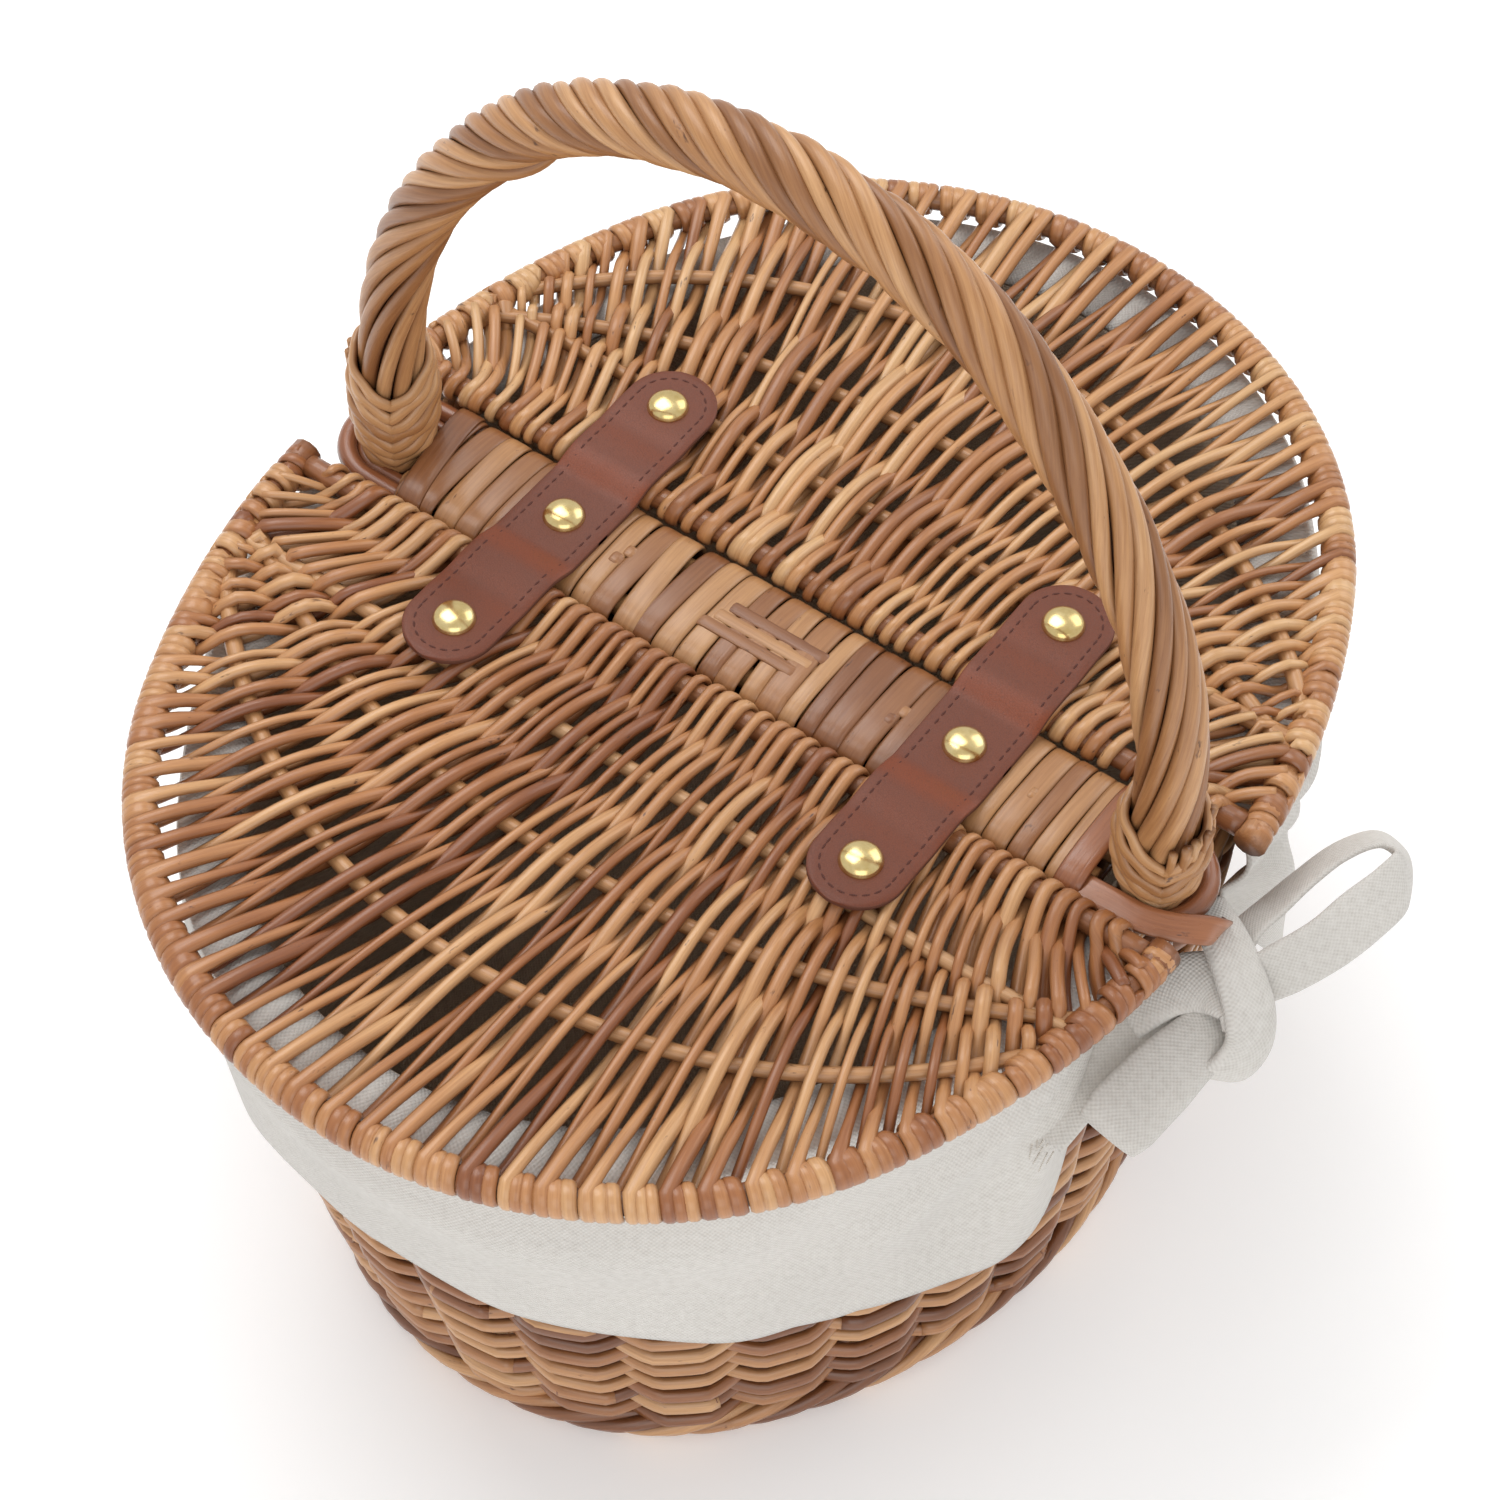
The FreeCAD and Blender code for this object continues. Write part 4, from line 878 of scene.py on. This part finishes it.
def wall_oval(z):
    """The oval through the middle of the wall at a level."""
    share = (z - FOOT_TOP) / (WALL_TOP - FOOT_TOP)
    low = np.array([FOOT_HALF_WIDTH, FOOT_HALF_LENGTH])
    high = np.array([WALL_HALF_WIDTH, WALL_HALF_LENGTH])
    belly = 2.5 * math.sin(math.pi * min(max(share, 0), 1))
    half = low + (high - low) * share - 4.0 + belly
    return Oval(half[0], half[1])


def wall_points(z, place):
    """Points in the middle of the wall at a level, at shares of a turn, with outward directions."""
    oval = wall_oval(z)
    spot, out = oval.at((np.asarray(place) % 1.0) * oval.length + oval.lengths[0] / 2)
    return spot + lean(z), out


def lean(z):
    """How far the hand-woven body has drifted off its centre at one level or several."""
    return FOOT_DRIFT * np.asarray(1 - smooth(np.asarray(z) / WALL_TOP))[..., None]


def make_wall():
    """Rows of short rods woven in front of one stake and behind the next, and the stakes."""
    wall = Weave(90)
    random = wall.random
    step = (WALL_TOP - FOOT_TOP) / WALL_ROWS
    for row in range(WALL_ROWS):
        start = random.integers(0, STAKES)
        covered = 0
        z = FOOT_TOP + (row + 0.5) * step
        while covered < STAKES:
            run = min(int(random.integers(5, 10)), STAKES - covered)
            stake = np.linspace(start + covered - 0.4, start + covered + run + 0.3, run * 12 + 8)
            spot, out = wall_points(z, stake / STAKES)
            weave_in = np.cos(np.pi * (stake + row))
            bulge = np.clip(1.3 * weave_in, -1, 1)
            height = z + random.normal(0, 0.3) + 0.5 * np.sin(stake * 1.7 + row)
            path = np.column_stack([spot + out * (bulge * WEAVE_SWING)[:, None], height])
            radius = random.uniform(*WALL_RADII)
            outward = np.column_stack([out, np.full(len(out), 0.15)])
            wall.rod(path, outward, radius * 0.9, radius * 1.12, sides=8)
            covered += run
    wall.place("wall_weaving", "body", "basket", "willow_body", "side_weave")

    stakes = Weave(91)
    for number in range(STAKES):
        levels = np.linspace(FOOT_TOP - 4, WALL_TOP + 2, 20)
        path = [np.append(wall_points(z, number / STAKES)[0], z) for z in levels]
        out = wall_points(100.0, number / STAKES)[1]
        stakes.rod(path, np.append(out, 0), 2.3, sides=8)
    stakes.place("wall_uprights", "body", "basket", "willow_stick", "side_stakes")


def rope_ring(weave, half_width, half_length, z, ring, strands, turns, radius):
    """Rods twisted round each other into an oval ring."""
    oval = Oval(half_width, half_length)
    share = np.arange(420) / 420
    spot, out = oval.at(share * oval.length)
    spot = spot + lean(z)
    for strand in range(strands):
        angle = 2 * np.pi * (turns * share + strand / strands)
        outward = np.column_stack([out * np.cos(angle)[:, None], np.sin(angle)])
        path = np.column_stack([spot + out * (ring * np.cos(angle))[:, None], z + ring * np.sin(angle)])
        weave.rod(path, outward, radius * 0.92, radius * 1.08, sides=7, closed=True)


def make_borders():
    """The roped rim, and the two roped rows at the foot."""
    rim = Weave(95)
    rope_ring(rim, RIM_HALF_WIDTH - 6, RIM_HALF_LENGTH - 6, RIM_MIDDLE, 3.4, 5, 21, 2.4)
    rim.place("rim_plait", "body", "basket", "willow_body", "rim_border")
    foot = Weave(96)
    rope_ring(foot, FOOT_HALF_WIDTH - 3.0, FOOT_HALF_LENGTH - 3.0, 4.4, 2.2, 4, 12, 2.1)
    rope_ring(foot, FOOT_HALF_WIDTH - 0.6, FOOT_HALF_LENGTH - 0.6, 10.6, 2.6, 4, 12, 2.3)
    foot.place("foot_wale", "body", "basket", "willow_body", "foot_border")


def make_base():
    """The oval base: rows woven round sticks that fan out from its long middle."""
    low, high = box("base_weave")
    level = (low[2] + high[2]) / 2
    spokes = 32
    base = Weave(97)
    rows = 21
    for row in range(rows):
        share = 0.16 + 0.84 * (row + 0.5) / rows
        long_half = high[1] * share + (1 - share) * 22
        oval = Oval(high[0] * share, long_half)
        place = np.linspace(0, 1, spokes * 7, endpoint=False)
        spot = oval.at(place * oval.length)[0]
        weave_in = np.cos(np.pi * (place * spokes + row))
        path = np.column_stack([spot + lean(level), level + 2.3 * weave_in])
        base.rod(path, UP, 1.75, 2.45, sides=7, closed=True)
    base.place("base_weaving", "body", "basket", "willow_body", "base_weave")
    sticks = Weave(98)
    outline = Oval(high[0] - 1, high[1] - 1)
    place = np.arange(spokes) / spokes
    for tip in outline.at(place * outline.length)[0]:
        hub = np.array([0.0, np.clip(tip[1] * 0.5, -60, 60)])
        share = np.linspace(0, 1, 12)[:, None]
        path = np.column_stack([hub + (tip - hub) * share + lean(level), np.full(12, level)])
        sticks.rod(path, UP, 1.7, sides=7)
    sticks.place("base_spokes", "rib", "basket", "willow_stick", "base_sticks")


# Straps and poppers -------------------------------------------------------------------------

def strap_profile(distance):
    """Height of the strap's underside at a distance from the middle of the bar."""
    rest = BAR_TOP + 0.6
    high = STRAP_LEVEL + 0.5
    rise = smooth((distance - 13) / 11)
    dip = 0.5 * np.exp(-((distance - 36) / 5.0) ** 2)
    return rest + (high - rest) * rise - dip


def strap_half_width(distance):
    """Half the strap's width, with its round end."""
    over = np.clip(distance - (STRAP_END - STRAP_HALF_WIDTH), 0, STRAP_HALF_WIDTH)
    return np.sqrt(np.maximum(STRAP_HALF_WIDTH ** 2 - over ** 2, 0))


def make_strap(side, sign, lid, way):
    """Half of one hinge strap: leather with rounded edges and a row of stitches inside them."""
    name = "%s_hinge_leather_%s" % (lid, side)
    columns = 17
    distance = np.concatenate([[-2.0], np.linspace(0, STRAP_END - STRAP_HALF_WIDTH, 40)[:-1],
                               STRAP_END - STRAP_HALF_WIDTH * (1 - np.sin(np.linspace(0, np.pi / 2, 18)))])
    distance[-1] -= 0.02
    x_share = np.sin(np.linspace(-np.pi / 2, np.pi / 2, columns))
    half = strap_half_width(distance)
    # The two halves meet in the middle of the bar, each just running on beneath the other.
    bottom = strap_profile(distance) - 0.05 * (distance < 0)
    slope = np.where(distance < 1, 0, np.gradient(bottom, distance))
    spots, tone = [], []
    for layer in (0, 1):
        for d, w, z, s in zip(distance, half, bottom, slope):
            for share in x_share:
                edge = 0.5 * max(0.0, abs(share) - 0.9) / 0.1
                end = 0.5 * max(0.0, d - STRAP_END + 1.4) / 1.4
                lift = STRAP_THICK * layer + (edge + end) * (0.6 if layer == 0 else -0.9)
                spots.append((sign * STRAP_X + share * w, way * (d - s * lift), z + lift))
                # Lighter and warmer where the strap slopes at its bend.
                tone.append(min(1.0, 0.15 + 2.2 * abs(s)))
    rows = len(distance)
    top = grid_faces(rows, columns)
    total = rows * columns
    faces = [face[::-1] for face in top] + [[i + total for i in face] for face in top]
    rim = [(row, 0) for row in range(rows)] + [(rows - 1, column) for column in range(1, columns)]
    rim += [(row, columns - 1) for row in range(rows - 2, -1, -1)]
    rim += [(0, column) for column in range(columns - 2, 0, -1)]
    loop = [row * columns + column for row, column in rim]
    kinds = [0] * len(faces)
    for a, b in zip(loop, loop[1:] + loop[:1]):
        faces.append([a, b, b + total, a + total][::-1])
        kinds.append(1)
    if way < 0:
        faces = [face[::-1] for face in faces]
    stitches = stitch_lines(sign, way)
    offset = len(spots)
    stitch_spots = np.concatenate(stitches.spots)
    faces += [[index + offset for index in face] for face in stitches.faces]
    kinds += [2] * len(stitches.faces)
    spots = np.concatenate([np.array(spots), stitch_spots]) * MM
    grain = np.concatenate([np.zeros((offset, 3)), np.concatenate(stitches.grain)])
    tones = np.concatenate([np.array(tone), np.concatenate(stitches.tone)])
    item = mesh_object(name, spots, faces, [MATERIALS["leather"], MATERIALS["edge"], MATERIALS["thread"]],
                       grain, tones, kinds)
    y = way * HINGE_Y * MM
    bend = way * 0.0055       # metres to either side of the hinge line
    end = (sign * STRAP_X * MM, y + bend, HINGE_Z * MM)
    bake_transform(item)
    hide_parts("%s_strap_%s" % (lid[:-4], side), "hinge_strap_%s_centre" % side)


def stitch_lines(sign, way):
    """Short dark stitches, a little sunk into the leather."""
    threads = Weave(120)
    inset, pitch, length = 3.4, 3.4, 2.1
    straight = STRAP_END - STRAP_HALF_WIDTH
    inner = STRAP_HALF_WIDTH - inset
    track = []
    for d in np.arange(1.2, straight, pitch):
        track += [((side * inner, d), (side * inner, d + length)) for side in (-1, 1)]
    bend = np.arange(0.5, math.pi * inner - 1, pitch) / inner
    for angle in bend:
        after = angle + length / inner
        track.append(((inner * math.cos(angle), straight + inner * math.sin(angle)),
                      (inner * math.cos(after), straight + inner * math.sin(after))))
    for (x0, d0), (x1, d1) in track:
        share = np.linspace(0, 1, 6)
        d = d0 + (d1 - d0) * share
        sink = 0.24 * np.sin(np.pi * share) - 0.24
        z = strap_profile(d) + STRAP_THICK + sink
        path = np.column_stack([sign * STRAP_X + x0 + (x1 - x0) * share, way * d, z])
        threads.rod(path, UP, 0.28, 0.34, sides=6)
    return threads


def make_popper(name, body, node):
    """A pressed brass cap: a dome with a rolled edge."""
    low, high = box(node)
    centre = (low + high) / 2
    radius = POPPER_RADIUS
    base = low[2] + STRAP_THICK
    top = high[2] + 0.3
    profile = [(1.7, low[2]), (1.7, base), (radius - 0.5, base), (radius - 0.05, base + 0.25),
               (radius, base + 0.6), (radius - 0.12, base + 0.95)]
    for angle in np.linspace(8, 90, 14):
        a = math.radians(angle)
        profile.append(((radius - 0.25) * math.cos(a), base + 1.0 + (top - base - 1.0) * math.sin(a)))
    profile[-1] = (0.01, top)
    turns = 48
    theta = 2 * np.pi * np.arange(turns) / turns
    spots = [(centre[0] + r * math.cos(t), centre[1] + r * math.sin(t), z) for r, z in profile for t in theta]
    faces = grid_faces(len(profile), turns, wrap=True)
    faces.append(list(range(turns))[::-1])
    faces.append([(len(profile) - 1) * turns + i for i in range(turns)])
    item = mesh_object(name, np.array(spots) * MM, faces, [MATERIALS["brass"]])
    settle(item, body, node)


def make_straps():
    """Four half straps and the six caps on them."""
    for side, sign in (("left", -1), ("right", 1)):
        make_strap(side, sign, "front_lid", -1)
        make_strap(side, sign, "back_lid", 1)
        make_popper("cap_%s_centre" % side, "basket", "popper_%s_centre" % side)
        for lid in ("front", "back"):
            make_popper("cap_%s_%s" % (lid, side), lid + "_lid", "%s_popper_%s" % (lid, side))


# The lining ---------------------------------------------------------------------------------

CLOTH = 1.2                  # thickness of the canvas
RIM_CLEAR = 1.5              # from the rim's outside to the middle of the cloth
PULL = 24.0                  # how far along a hem the bows' pull is felt
TIE_LEVEL = 168.0            # where the bows pull the skirts' ends together
# How high the front hem hangs, from its left end to its right end.
HEM_SHARES = [0.0, 0.15, 0.28, 0.42, 0.52, 0.62, 0.7, 0.8, 0.9, 1.0]
HEM_LEVELS = [128, 122, 124, 129, 127, 118, 108, 95, 89, 92]
FOLD_ANGLES = (0.25, 0.62, 1.05)     # the long folds that the bows pull in, below the horizontal


def cloth_sheet(name, grid, grain, closed=False, finish="canvas"):
    """A closed cloth solid from a grid of middle points; grain holds the cut cloth's distances."""
    rows, columns = grid.shape[:2]
    along = np.gradient(grid, axis=0)
    across = np.roll(grid, -1, 1) - np.roll(grid, 1, 1) if closed else np.gradient(grid, axis=1)
    normal = unit(np.cross(across, along))
    outer = (grid + normal * CLOTH / 2).reshape(-1, 3)
    inner = (grid - normal * CLOTH / 2).reshape(-1, 3)
    quads = grid_faces(rows, columns, closed)
    total = rows * columns
    faces = [face[::-1] for face in quads] + [[index + total for index in face] for face in quads]
    first = list(range(columns))
    last = [(rows - 1) * columns + column for column in first]
    if closed:
        edges = [first + first[:1], last[::-1] + last[-1:]]
    else:
        right = [row * columns + columns - 1 for row in range(1, rows)]
        left = [row * columns for row in range(rows - 2, -1, -1)]
        edges = [first + right + last[-2::-1] + left]
    for loop in edges:
        for a, b in zip(loop[:-1], loop[1:]):
            faces.append([a, b, b + total, a + total])
    spots = np.concatenate([outer, inner]) * MM
    both = np.concatenate([grain.reshape(-1, 3)] * 2)
    return mesh_object(name, spots, faces, [MATERIALS[finish]], both)


def make_skirt(side, way, seed):
    """Half of the turned-down lining: over the rim and down the outside, in soft folds."""
    low, high = box("lining_skirt_" + side)
    random = np.random.default_rng(seed)
    oval = Oval(RIM_HALF_WIDTH + RIM_CLEAR, RIM_HALF_LENGTH + RIM_CLEAR)
    slit = -high[1] if way < 0 else low[1]
    left, right = oval.front_span(slit)
    columns, rows = 300, 40
    share = np.linspace(0, 1, columns)
    travel = left + (right - left) * share
    spot, out = oval.at(travel)
    over = 14.0               # the width of cloth that lies across the rim
    inner = RIM_HALF_WIDTH + 2.5 - box("lining_bag")[1][0]
    crest = high[2] - 0.8
    long_end = share if way < 0 else 1 - share
    hem_level = np.interp(long_end, HEM_SHARES, HEM_LEVELS)
    hem_level = hem_level + ripples(random, share, range(2, 9), 1)
    waves = ripples(random, share, range(3, 14), 0.7)
    from_end = np.minimum(travel - left, right - travel)
    near_long = right - travel if way < 0 else travel - left
    tied = np.exp(-(from_end / PULL) ** 2)
    swell = 9.0 if way < 0 else 20.0      # how far the hem stands out beside the right bow
    under_lid = 1 - smooth(share / 0.4) if way < 0 else 1.0
    bulge = swell * np.exp(-((near_long - 28) / PULL) ** 2)
    grid = np.zeros((rows, columns, 3))
    grain = np.zeros((rows, columns, 3))
    total = over + crest - hem_level.mean()
    for row in range(rows):
        length = total * (row / (rows - 1))
        deep = max(0.0, (length - over) / (total - over))
        if length < over:
            turn = length / over
            push = np.full(columns, -inner * (1 - turn))
            height = np.full(columns, crest + 1.4 * math.sin(math.pi * turn) - 0.4)
        else:
            ridge = math.exp(-((deep - 0.42) / 0.16) ** 2)
            fall = (crest - hem_level) * deep
            spread = np.hypot(fall, from_end)
            slope = np.arctan2(fall, from_end + 3)
            fan = sum(np.exp(-((slope - angle) / 0.15) ** 2) for angle in FOLD_ANGLES) - 0.3
            fan = fan * (1 - tied) * smooth(spread / 40) * np.exp(-spread / 115)
            roll = 8.0 * under_lid * math.exp(-((deep - 0.1) / 0.13) ** 2)
            push = (1.0 + 3.4 * ridge * (0.6 + 0.4 * np.sin(9 * share + seed)) - 3.0 * deep
                    + waves * 1.1 * smooth(deep * 1.3) + 9.0 * fan + roll
                    + bulge * deep ** 0.8 - 5.0 * tied * deep)
            push = np.maximum(push, -0.2 - 2 * deep)
            height = crest - 0.4 - (crest - hem_level) * deep
            height = height + tied * (TIE_LEVEL + (height - TIE_LEVEL) * 0.3 - height) * smooth(deep * 2.5)
        grid[row, :, :2] = spot + out * push[:, None]
        grid[row, :, 2] = height
        grain[row, :, 0] = travel
        grain[row, :, 1] = length
    if way > 0:
        grid[..., :2] *= -1
    grid[..., :2] += lean(grid[..., 2])
    item = cloth_sheet("lining_fold_" + side, grid, grain)
    settle(item, "basket", "lining_skirt_" + side)


def make_bag():
    """The lining inside the basket, with a soft sag and wrinkles towards the floor."""
    low, high = box("lining_bag")
    columns, rows = 200, 40
    random = np.random.default_rng(5)
    share = np.arange(columns) / columns
    waves = ripples(random, share, range(4, 22), 0.7)
    mouth_half = np.array([high[0], high[1]])
    inset = 10.0              # from the foot's outside to the lining
    foot_half = np.array([FOOT_HALF_WIDTH - inset, FOOT_HALF_LENGTH - inset])
    depth = high[2] - low[2]
    rest = 3.0                # the floor of the lining lies on the tops of the base's rods
    wall_rows = 26
    grid = np.zeros((rows, columns, 3))
    grain = np.zeros((rows, columns, 3))
    for row in range(rows):
        deep = min(row / (wall_rows - 1), 1.0)
        half = mouth_half + (foot_half - mouth_half) * deep
        oval = Oval(half[0], half[1])
        spot, out = oval.at(share * oval.length)
        if row < wall_rows:
            push = np.minimum(waves * math.sin(math.pi * deep) - 1.2, -0.2)
            ring = spot + out * push[:, None]
            height = high[2] - 0.6 - (depth - rest) * deep
            cut = [share * 900, np.full(columns, deep * depth), np.zeros(columns)]
        else:
            shrink = 1 - (row - wall_rows + 1) / (rows - wall_rows)
            ring = spot * max(shrink, 0.02)
            height = low[2] + rest - 0.4 + 0.8 * math.sin(math.pi * shrink) + waves * 0.5 * shrink
            cut = [ring, np.full(columns, 50.0)]
        grid[row, :, :2] = ring
        grid[row, :, 2] = height
        grain[row] = np.column_stack(cut)
    grid[..., :2] += lean(grid[..., 2])
    item = cloth_sheet("lining_inner", grid, grain, closed=True, finish="canvas_inside_shaded")
    settle(item, "basket", "lining_bag")


def ribbon(weave, points, normals, half_width, thick=1.5, count=60):
    """A flat tape along a smooth line; normals are given at the same points."""
    path = smooth_line(points, count)
    normal = smooth_line(normals, count)
    half = np.interp(np.linspace(0, 1, count), np.linspace(0, 1, np.size(half_width)), np.ravel(half_width))
    weave.rod(path, unit(normal), thick, half, sides=16, square=0.75)


def make_bow(side, sign):
    """A tape tied beside the handle: one loop, a thick knot and two hanging ends.

    The right bow's loop stands out behind the handle; the left bow hangs close to the wall.
    """
    bow = Weave(130 + sign)
    knot = np.array([RIM_HALF_WIDTH + 23.0, -8.5, TIE_LEVEL + 6])
    # The right bow lies in a slope: its numbers run outward, up the slope and off the slope.
    axes = np.array([[0.83, 0.56, 0.0], [-0.44, 0.64, 0.63], [0.35, -0.52, 0.78]])
    if sign < 0:
        knot = np.array([RIM_HALF_WIDTH + 9, 4.0, TIE_LEVEL - 18])
        axes = np.eye(3)

    def lay(points, normals, half_width, thick, count):
        points = np.array(points, float) @ axes + knot
        normals = np.array(normals, float) @ axes
        points[:, 0] *= sign
        normals[:, 0] *= sign
        ribbon(bow, points, normals, half_width, thick, count)

    if sign > 0:
        lay([(-2, -1, -2), (8, 4, 2), (17, 9, 4), (27, 15.5, 5), (36, 23, 4), (44.5, 30, 1),
             (48.5, 36, -4), (46.5, 41, -8), (41, 43, -10), (32, 39, -11), (23, 32, -10), (14, 24, -8),
             (6, 17, -5), (0, 8, -2)],
            [(0.1, -0.1, 1), (0.15, -0.3, 0.95), (0.17, -0.3, 0.94), (0.17, -0.3, 0.94), (0.2, -0.2, 0.95),
             (0.5, -0.1, 0.85), (0.95, 0.2, 0.35), (0.4, 0.9, 0.1), (-0.3, 0.9, 0.15), (-0.5, 0.85, 0.2),
             (-0.5, 0.85, 0.2), (-0.5, 0.85, 0.25), (-0.5, 0.8, 0.3), (-0.5, 0.7, 0.5)],
            [6.5, 8.3, 8.6, 8.3, 7.8, 7.5, 8.0, 7.5], 1.3, 110)
        lay([(0, -2, 2), (-5, -10, 6), (-13, -17.5, 9), (-21, -25.5, 11.5), (-28, -33, 12.5), (-31, -37, 10)],
            [(0.3, 0.1, 0.95), (0.2, 0.25, 0.94), (0.05, 0.2, 0.97), (-0.1, 0.1, 1), (-0.3, -0.2, 0.95),
             (-0.5, -0.6, 0.7)], [7.0, 8.8, 10.3, 10.6, 9.4], 1.8, 60)
        lay([(-46, -41, -2), (-35, -24, 0), (-20, -6, 1), (-6, 6, 0)],
            [(-0.2, 0.2, 1), (-0.2, 0.2, 1), (-0.1, 0.2, 1), (0, 0.2, 1)], [5.5, 7.5, 8.5, 7.5], 1.5, 50)
        lay([(-26, -6, 1), (-15, 2, 4), (-5, 4, 6), (3, 0, 8), (5, -6, 7)],
            [(-0.3, 0.3, 0.9), (-0.1, 0.3, 0.95), (0.1, 0.2, 1), (0.5, 0, 0.85), (0.6, -0.3, 0.7)],
            [7.5, 8.5, 7.5], 2.2, 50)
        lay([(-5, 24, -3), (-1, 17, 4), (3, 7, 9), (6, -3, 10.5), (6, -12, 9), (1, -19, 6), (-6, -20, 0)],
            [(0.1, 0.6, 0.8), (0.3, 0.3, 0.9), (0.4, 0.1, 0.9), (0.45, -0.1, 0.9), (0.4, -0.4, 0.8),
             (0.0, -0.9, 0.5), (-0.2, -1, -0.2)], [6.0, 7.5, 8.0, 7.5, 6.5], 2.4, 70)
        draw = bow.random.uniform
        for _ in range(14):              # threads frayed from the tape's cut end
            spot = np.array([-46 + draw(-3.5, 3.5), -41 + draw(-3.5, 3.5), -2])
            tip = spot + np.array([draw(-5, 0), draw(-6, -2), draw(-2, 2)])
            share = np.linspace(0, 1, 5)[:, None]
            bow.rod((spot + (tip - spot) * share) @ axes + knot, UP, 0.22, sides=5, kind=1)
    else:
        lay([(0, 0, 0), (3, 12, -8), (4, 18, -24), (3, 16, -38), (-1, 10, -34), (-2, 4, -18), (0, 0, 0)],
            [(1, 0, 0.3), (1, 0.2, 0.2), (1, 0.3, 0), (0.2, 0.3, -1), (-1, 0, 0), (-1, 0, 0), (-0.4, 0, 1)],
            7.5, 1.4, 60)
        lay([(0, -2, -2), (2, -8, -14), (2, -14, -30), (1, -18, -44)],
            [(1, -0.1, 0.2), (1, 0, 0.1), (1, 0, 0.1), (1, 0, 0.1)], 8.5, 1.5, 40)
        lay([(-3, -5, 8), (3, -3, 8), (6, 0, 2), (5, 2, -7), (-2, 3, -9)],
            [(0, 0, 1), (0.5, 0, 1), (1, 0, 0.1), (0.7, 0, -0.7), (0, 0, -1)], 7.0, 2.6, 50)
        lay([(-6, 26, 14), (-3, 12, 8), (-2, 0, 2), (-3, -12, 6), (-7, -26, 12)],
            [(1, 0, 0.2), (1, 0, 0.2), (1, 0, 0.2), (1, 0, 0.2), (1, 0, 0.2)], 7.0, 2.0, 50)
    bow.place("lining_bow_" + side, "canvas fray", "basket", "canvas", "tie_bow_" + side)


# Stage --------------------------------------------------------------------------------------

def make_stage():
    """A pale floor, an even white surround and three soft lights."""
    floor = bpy.data.meshes.new("floor")
    half = 6.0
    corners = [(-half, -half, 0), (half, -half, 0), (half, half, 0), (-half, half, 0)]
    floor.from_pydata(corners, [], [(0, 1, 2, 3)])
    item = bpy.data.objects.new("floor", floor)
    bpy.context.scene.collection.objects.link(item)
    n = Nodes("floor_paper")
    place = n.add("ShaderNodeTexCoord").outputs["Object"]
    tint = n.ramp(n.noise(n.scaled(place, (3, 3, 3)), 1.0, 2.0), [(0.3, 0.96), (0.7, 0.98)])
    n.link(tint, n.shader.inputs["Base Color"])
    n.set(Roughness=0.9, Emission_Color=(1.0, 1.0, 1.0, 1.0), Emission_Strength=0.12)
    floor.materials.append(n.material)

    world = bpy.data.worlds.new("studio")
    bpy.context.scene.world = world
    world.use_nodes = True
    back = world.node_tree.nodes["Background"]
    back.inputs["Color"].default_value = (1.0, 1.0, 1.0, 1.0)
    back.inputs["Strength"].default_value = 0.7
    add_light("key", (-0.75, 0.25, 1.6), 1.1, 13)
    add_light("fill", (0.9, -1.2, 1.0), 1.4, 8)
    add_light("rim", (0.4, 1.3, 1.1), 1.0, 5)


def add_light(name, place, size, power):
    """A square lamp of a size in metres and a power in watts, aimed at the basket's middle."""
    lamp = bpy.data.lights.new(name, "AREA")
    lamp.size = size
    lamp.energy = power
    item = bpy.data.objects.new(name, lamp)
    item.location = place
    aim = Vector((0, 0, 0.15)) - Vector(place)
    item.rotation_euler = aim.to_track_quat("-Z", "Y").to_euler()
    bpy.context.scene.collection.objects.link(item)


def make_camera():
    """Looks down from the front right at the middle of the lids."""
    azimuth, elevation, roll = math.radians(34.1), math.radians(51.1), math.radians(2.0)
    distance, lens = 0.9592, 82.14
    target = Vector((0, 0, (lid_high[2] + 0.3) * MM))
    back = Vector((math.sin(azimuth) * math.cos(elevation), -math.cos(azimuth) * math.cos(elevation),
                   math.sin(elevation)))
    right = Vector((math.cos(azimuth), math.sin(azimuth), 0))
    up = back.cross(right)
    turned_right = math.cos(roll) * right + math.sin(roll) * up
    turned_up = -math.sin(roll) * right + math.cos(roll) * up
    camera = bpy.data.cameras.new("camera")
    camera.lens = lens
    camera.sensor_width = 36.0
    camera.shift_x = -0.0061
    camera.shift_y = -0.0813
    item = bpy.data.objects.new("camera", camera)
    turn = Matrix((turned_right, turned_up, back)).transposed().to_4x4()
    item.matrix_world = Matrix.Translation(target + back * distance) @ turn
    bpy.context.scene.collection.objects.link(item)
    bpy.context.scene.camera = item
    bpy.context.scene.view_settings.view_transform = "Standard"


MATERIALS = make_materials()
make_camera()
make_stage()
make_lid("front_lid", False, -0.06, 11)
make_lid("back_lid", True, -0.02, 23)
make_handle()
make_crossbar()
make_wall()
make_borders()
make_base()
make_straps()
make_bag()
make_skirt("front", -1, 3)
make_skirt("back", 1, 8)
make_bow("left", -1)
make_bow("right", 1)
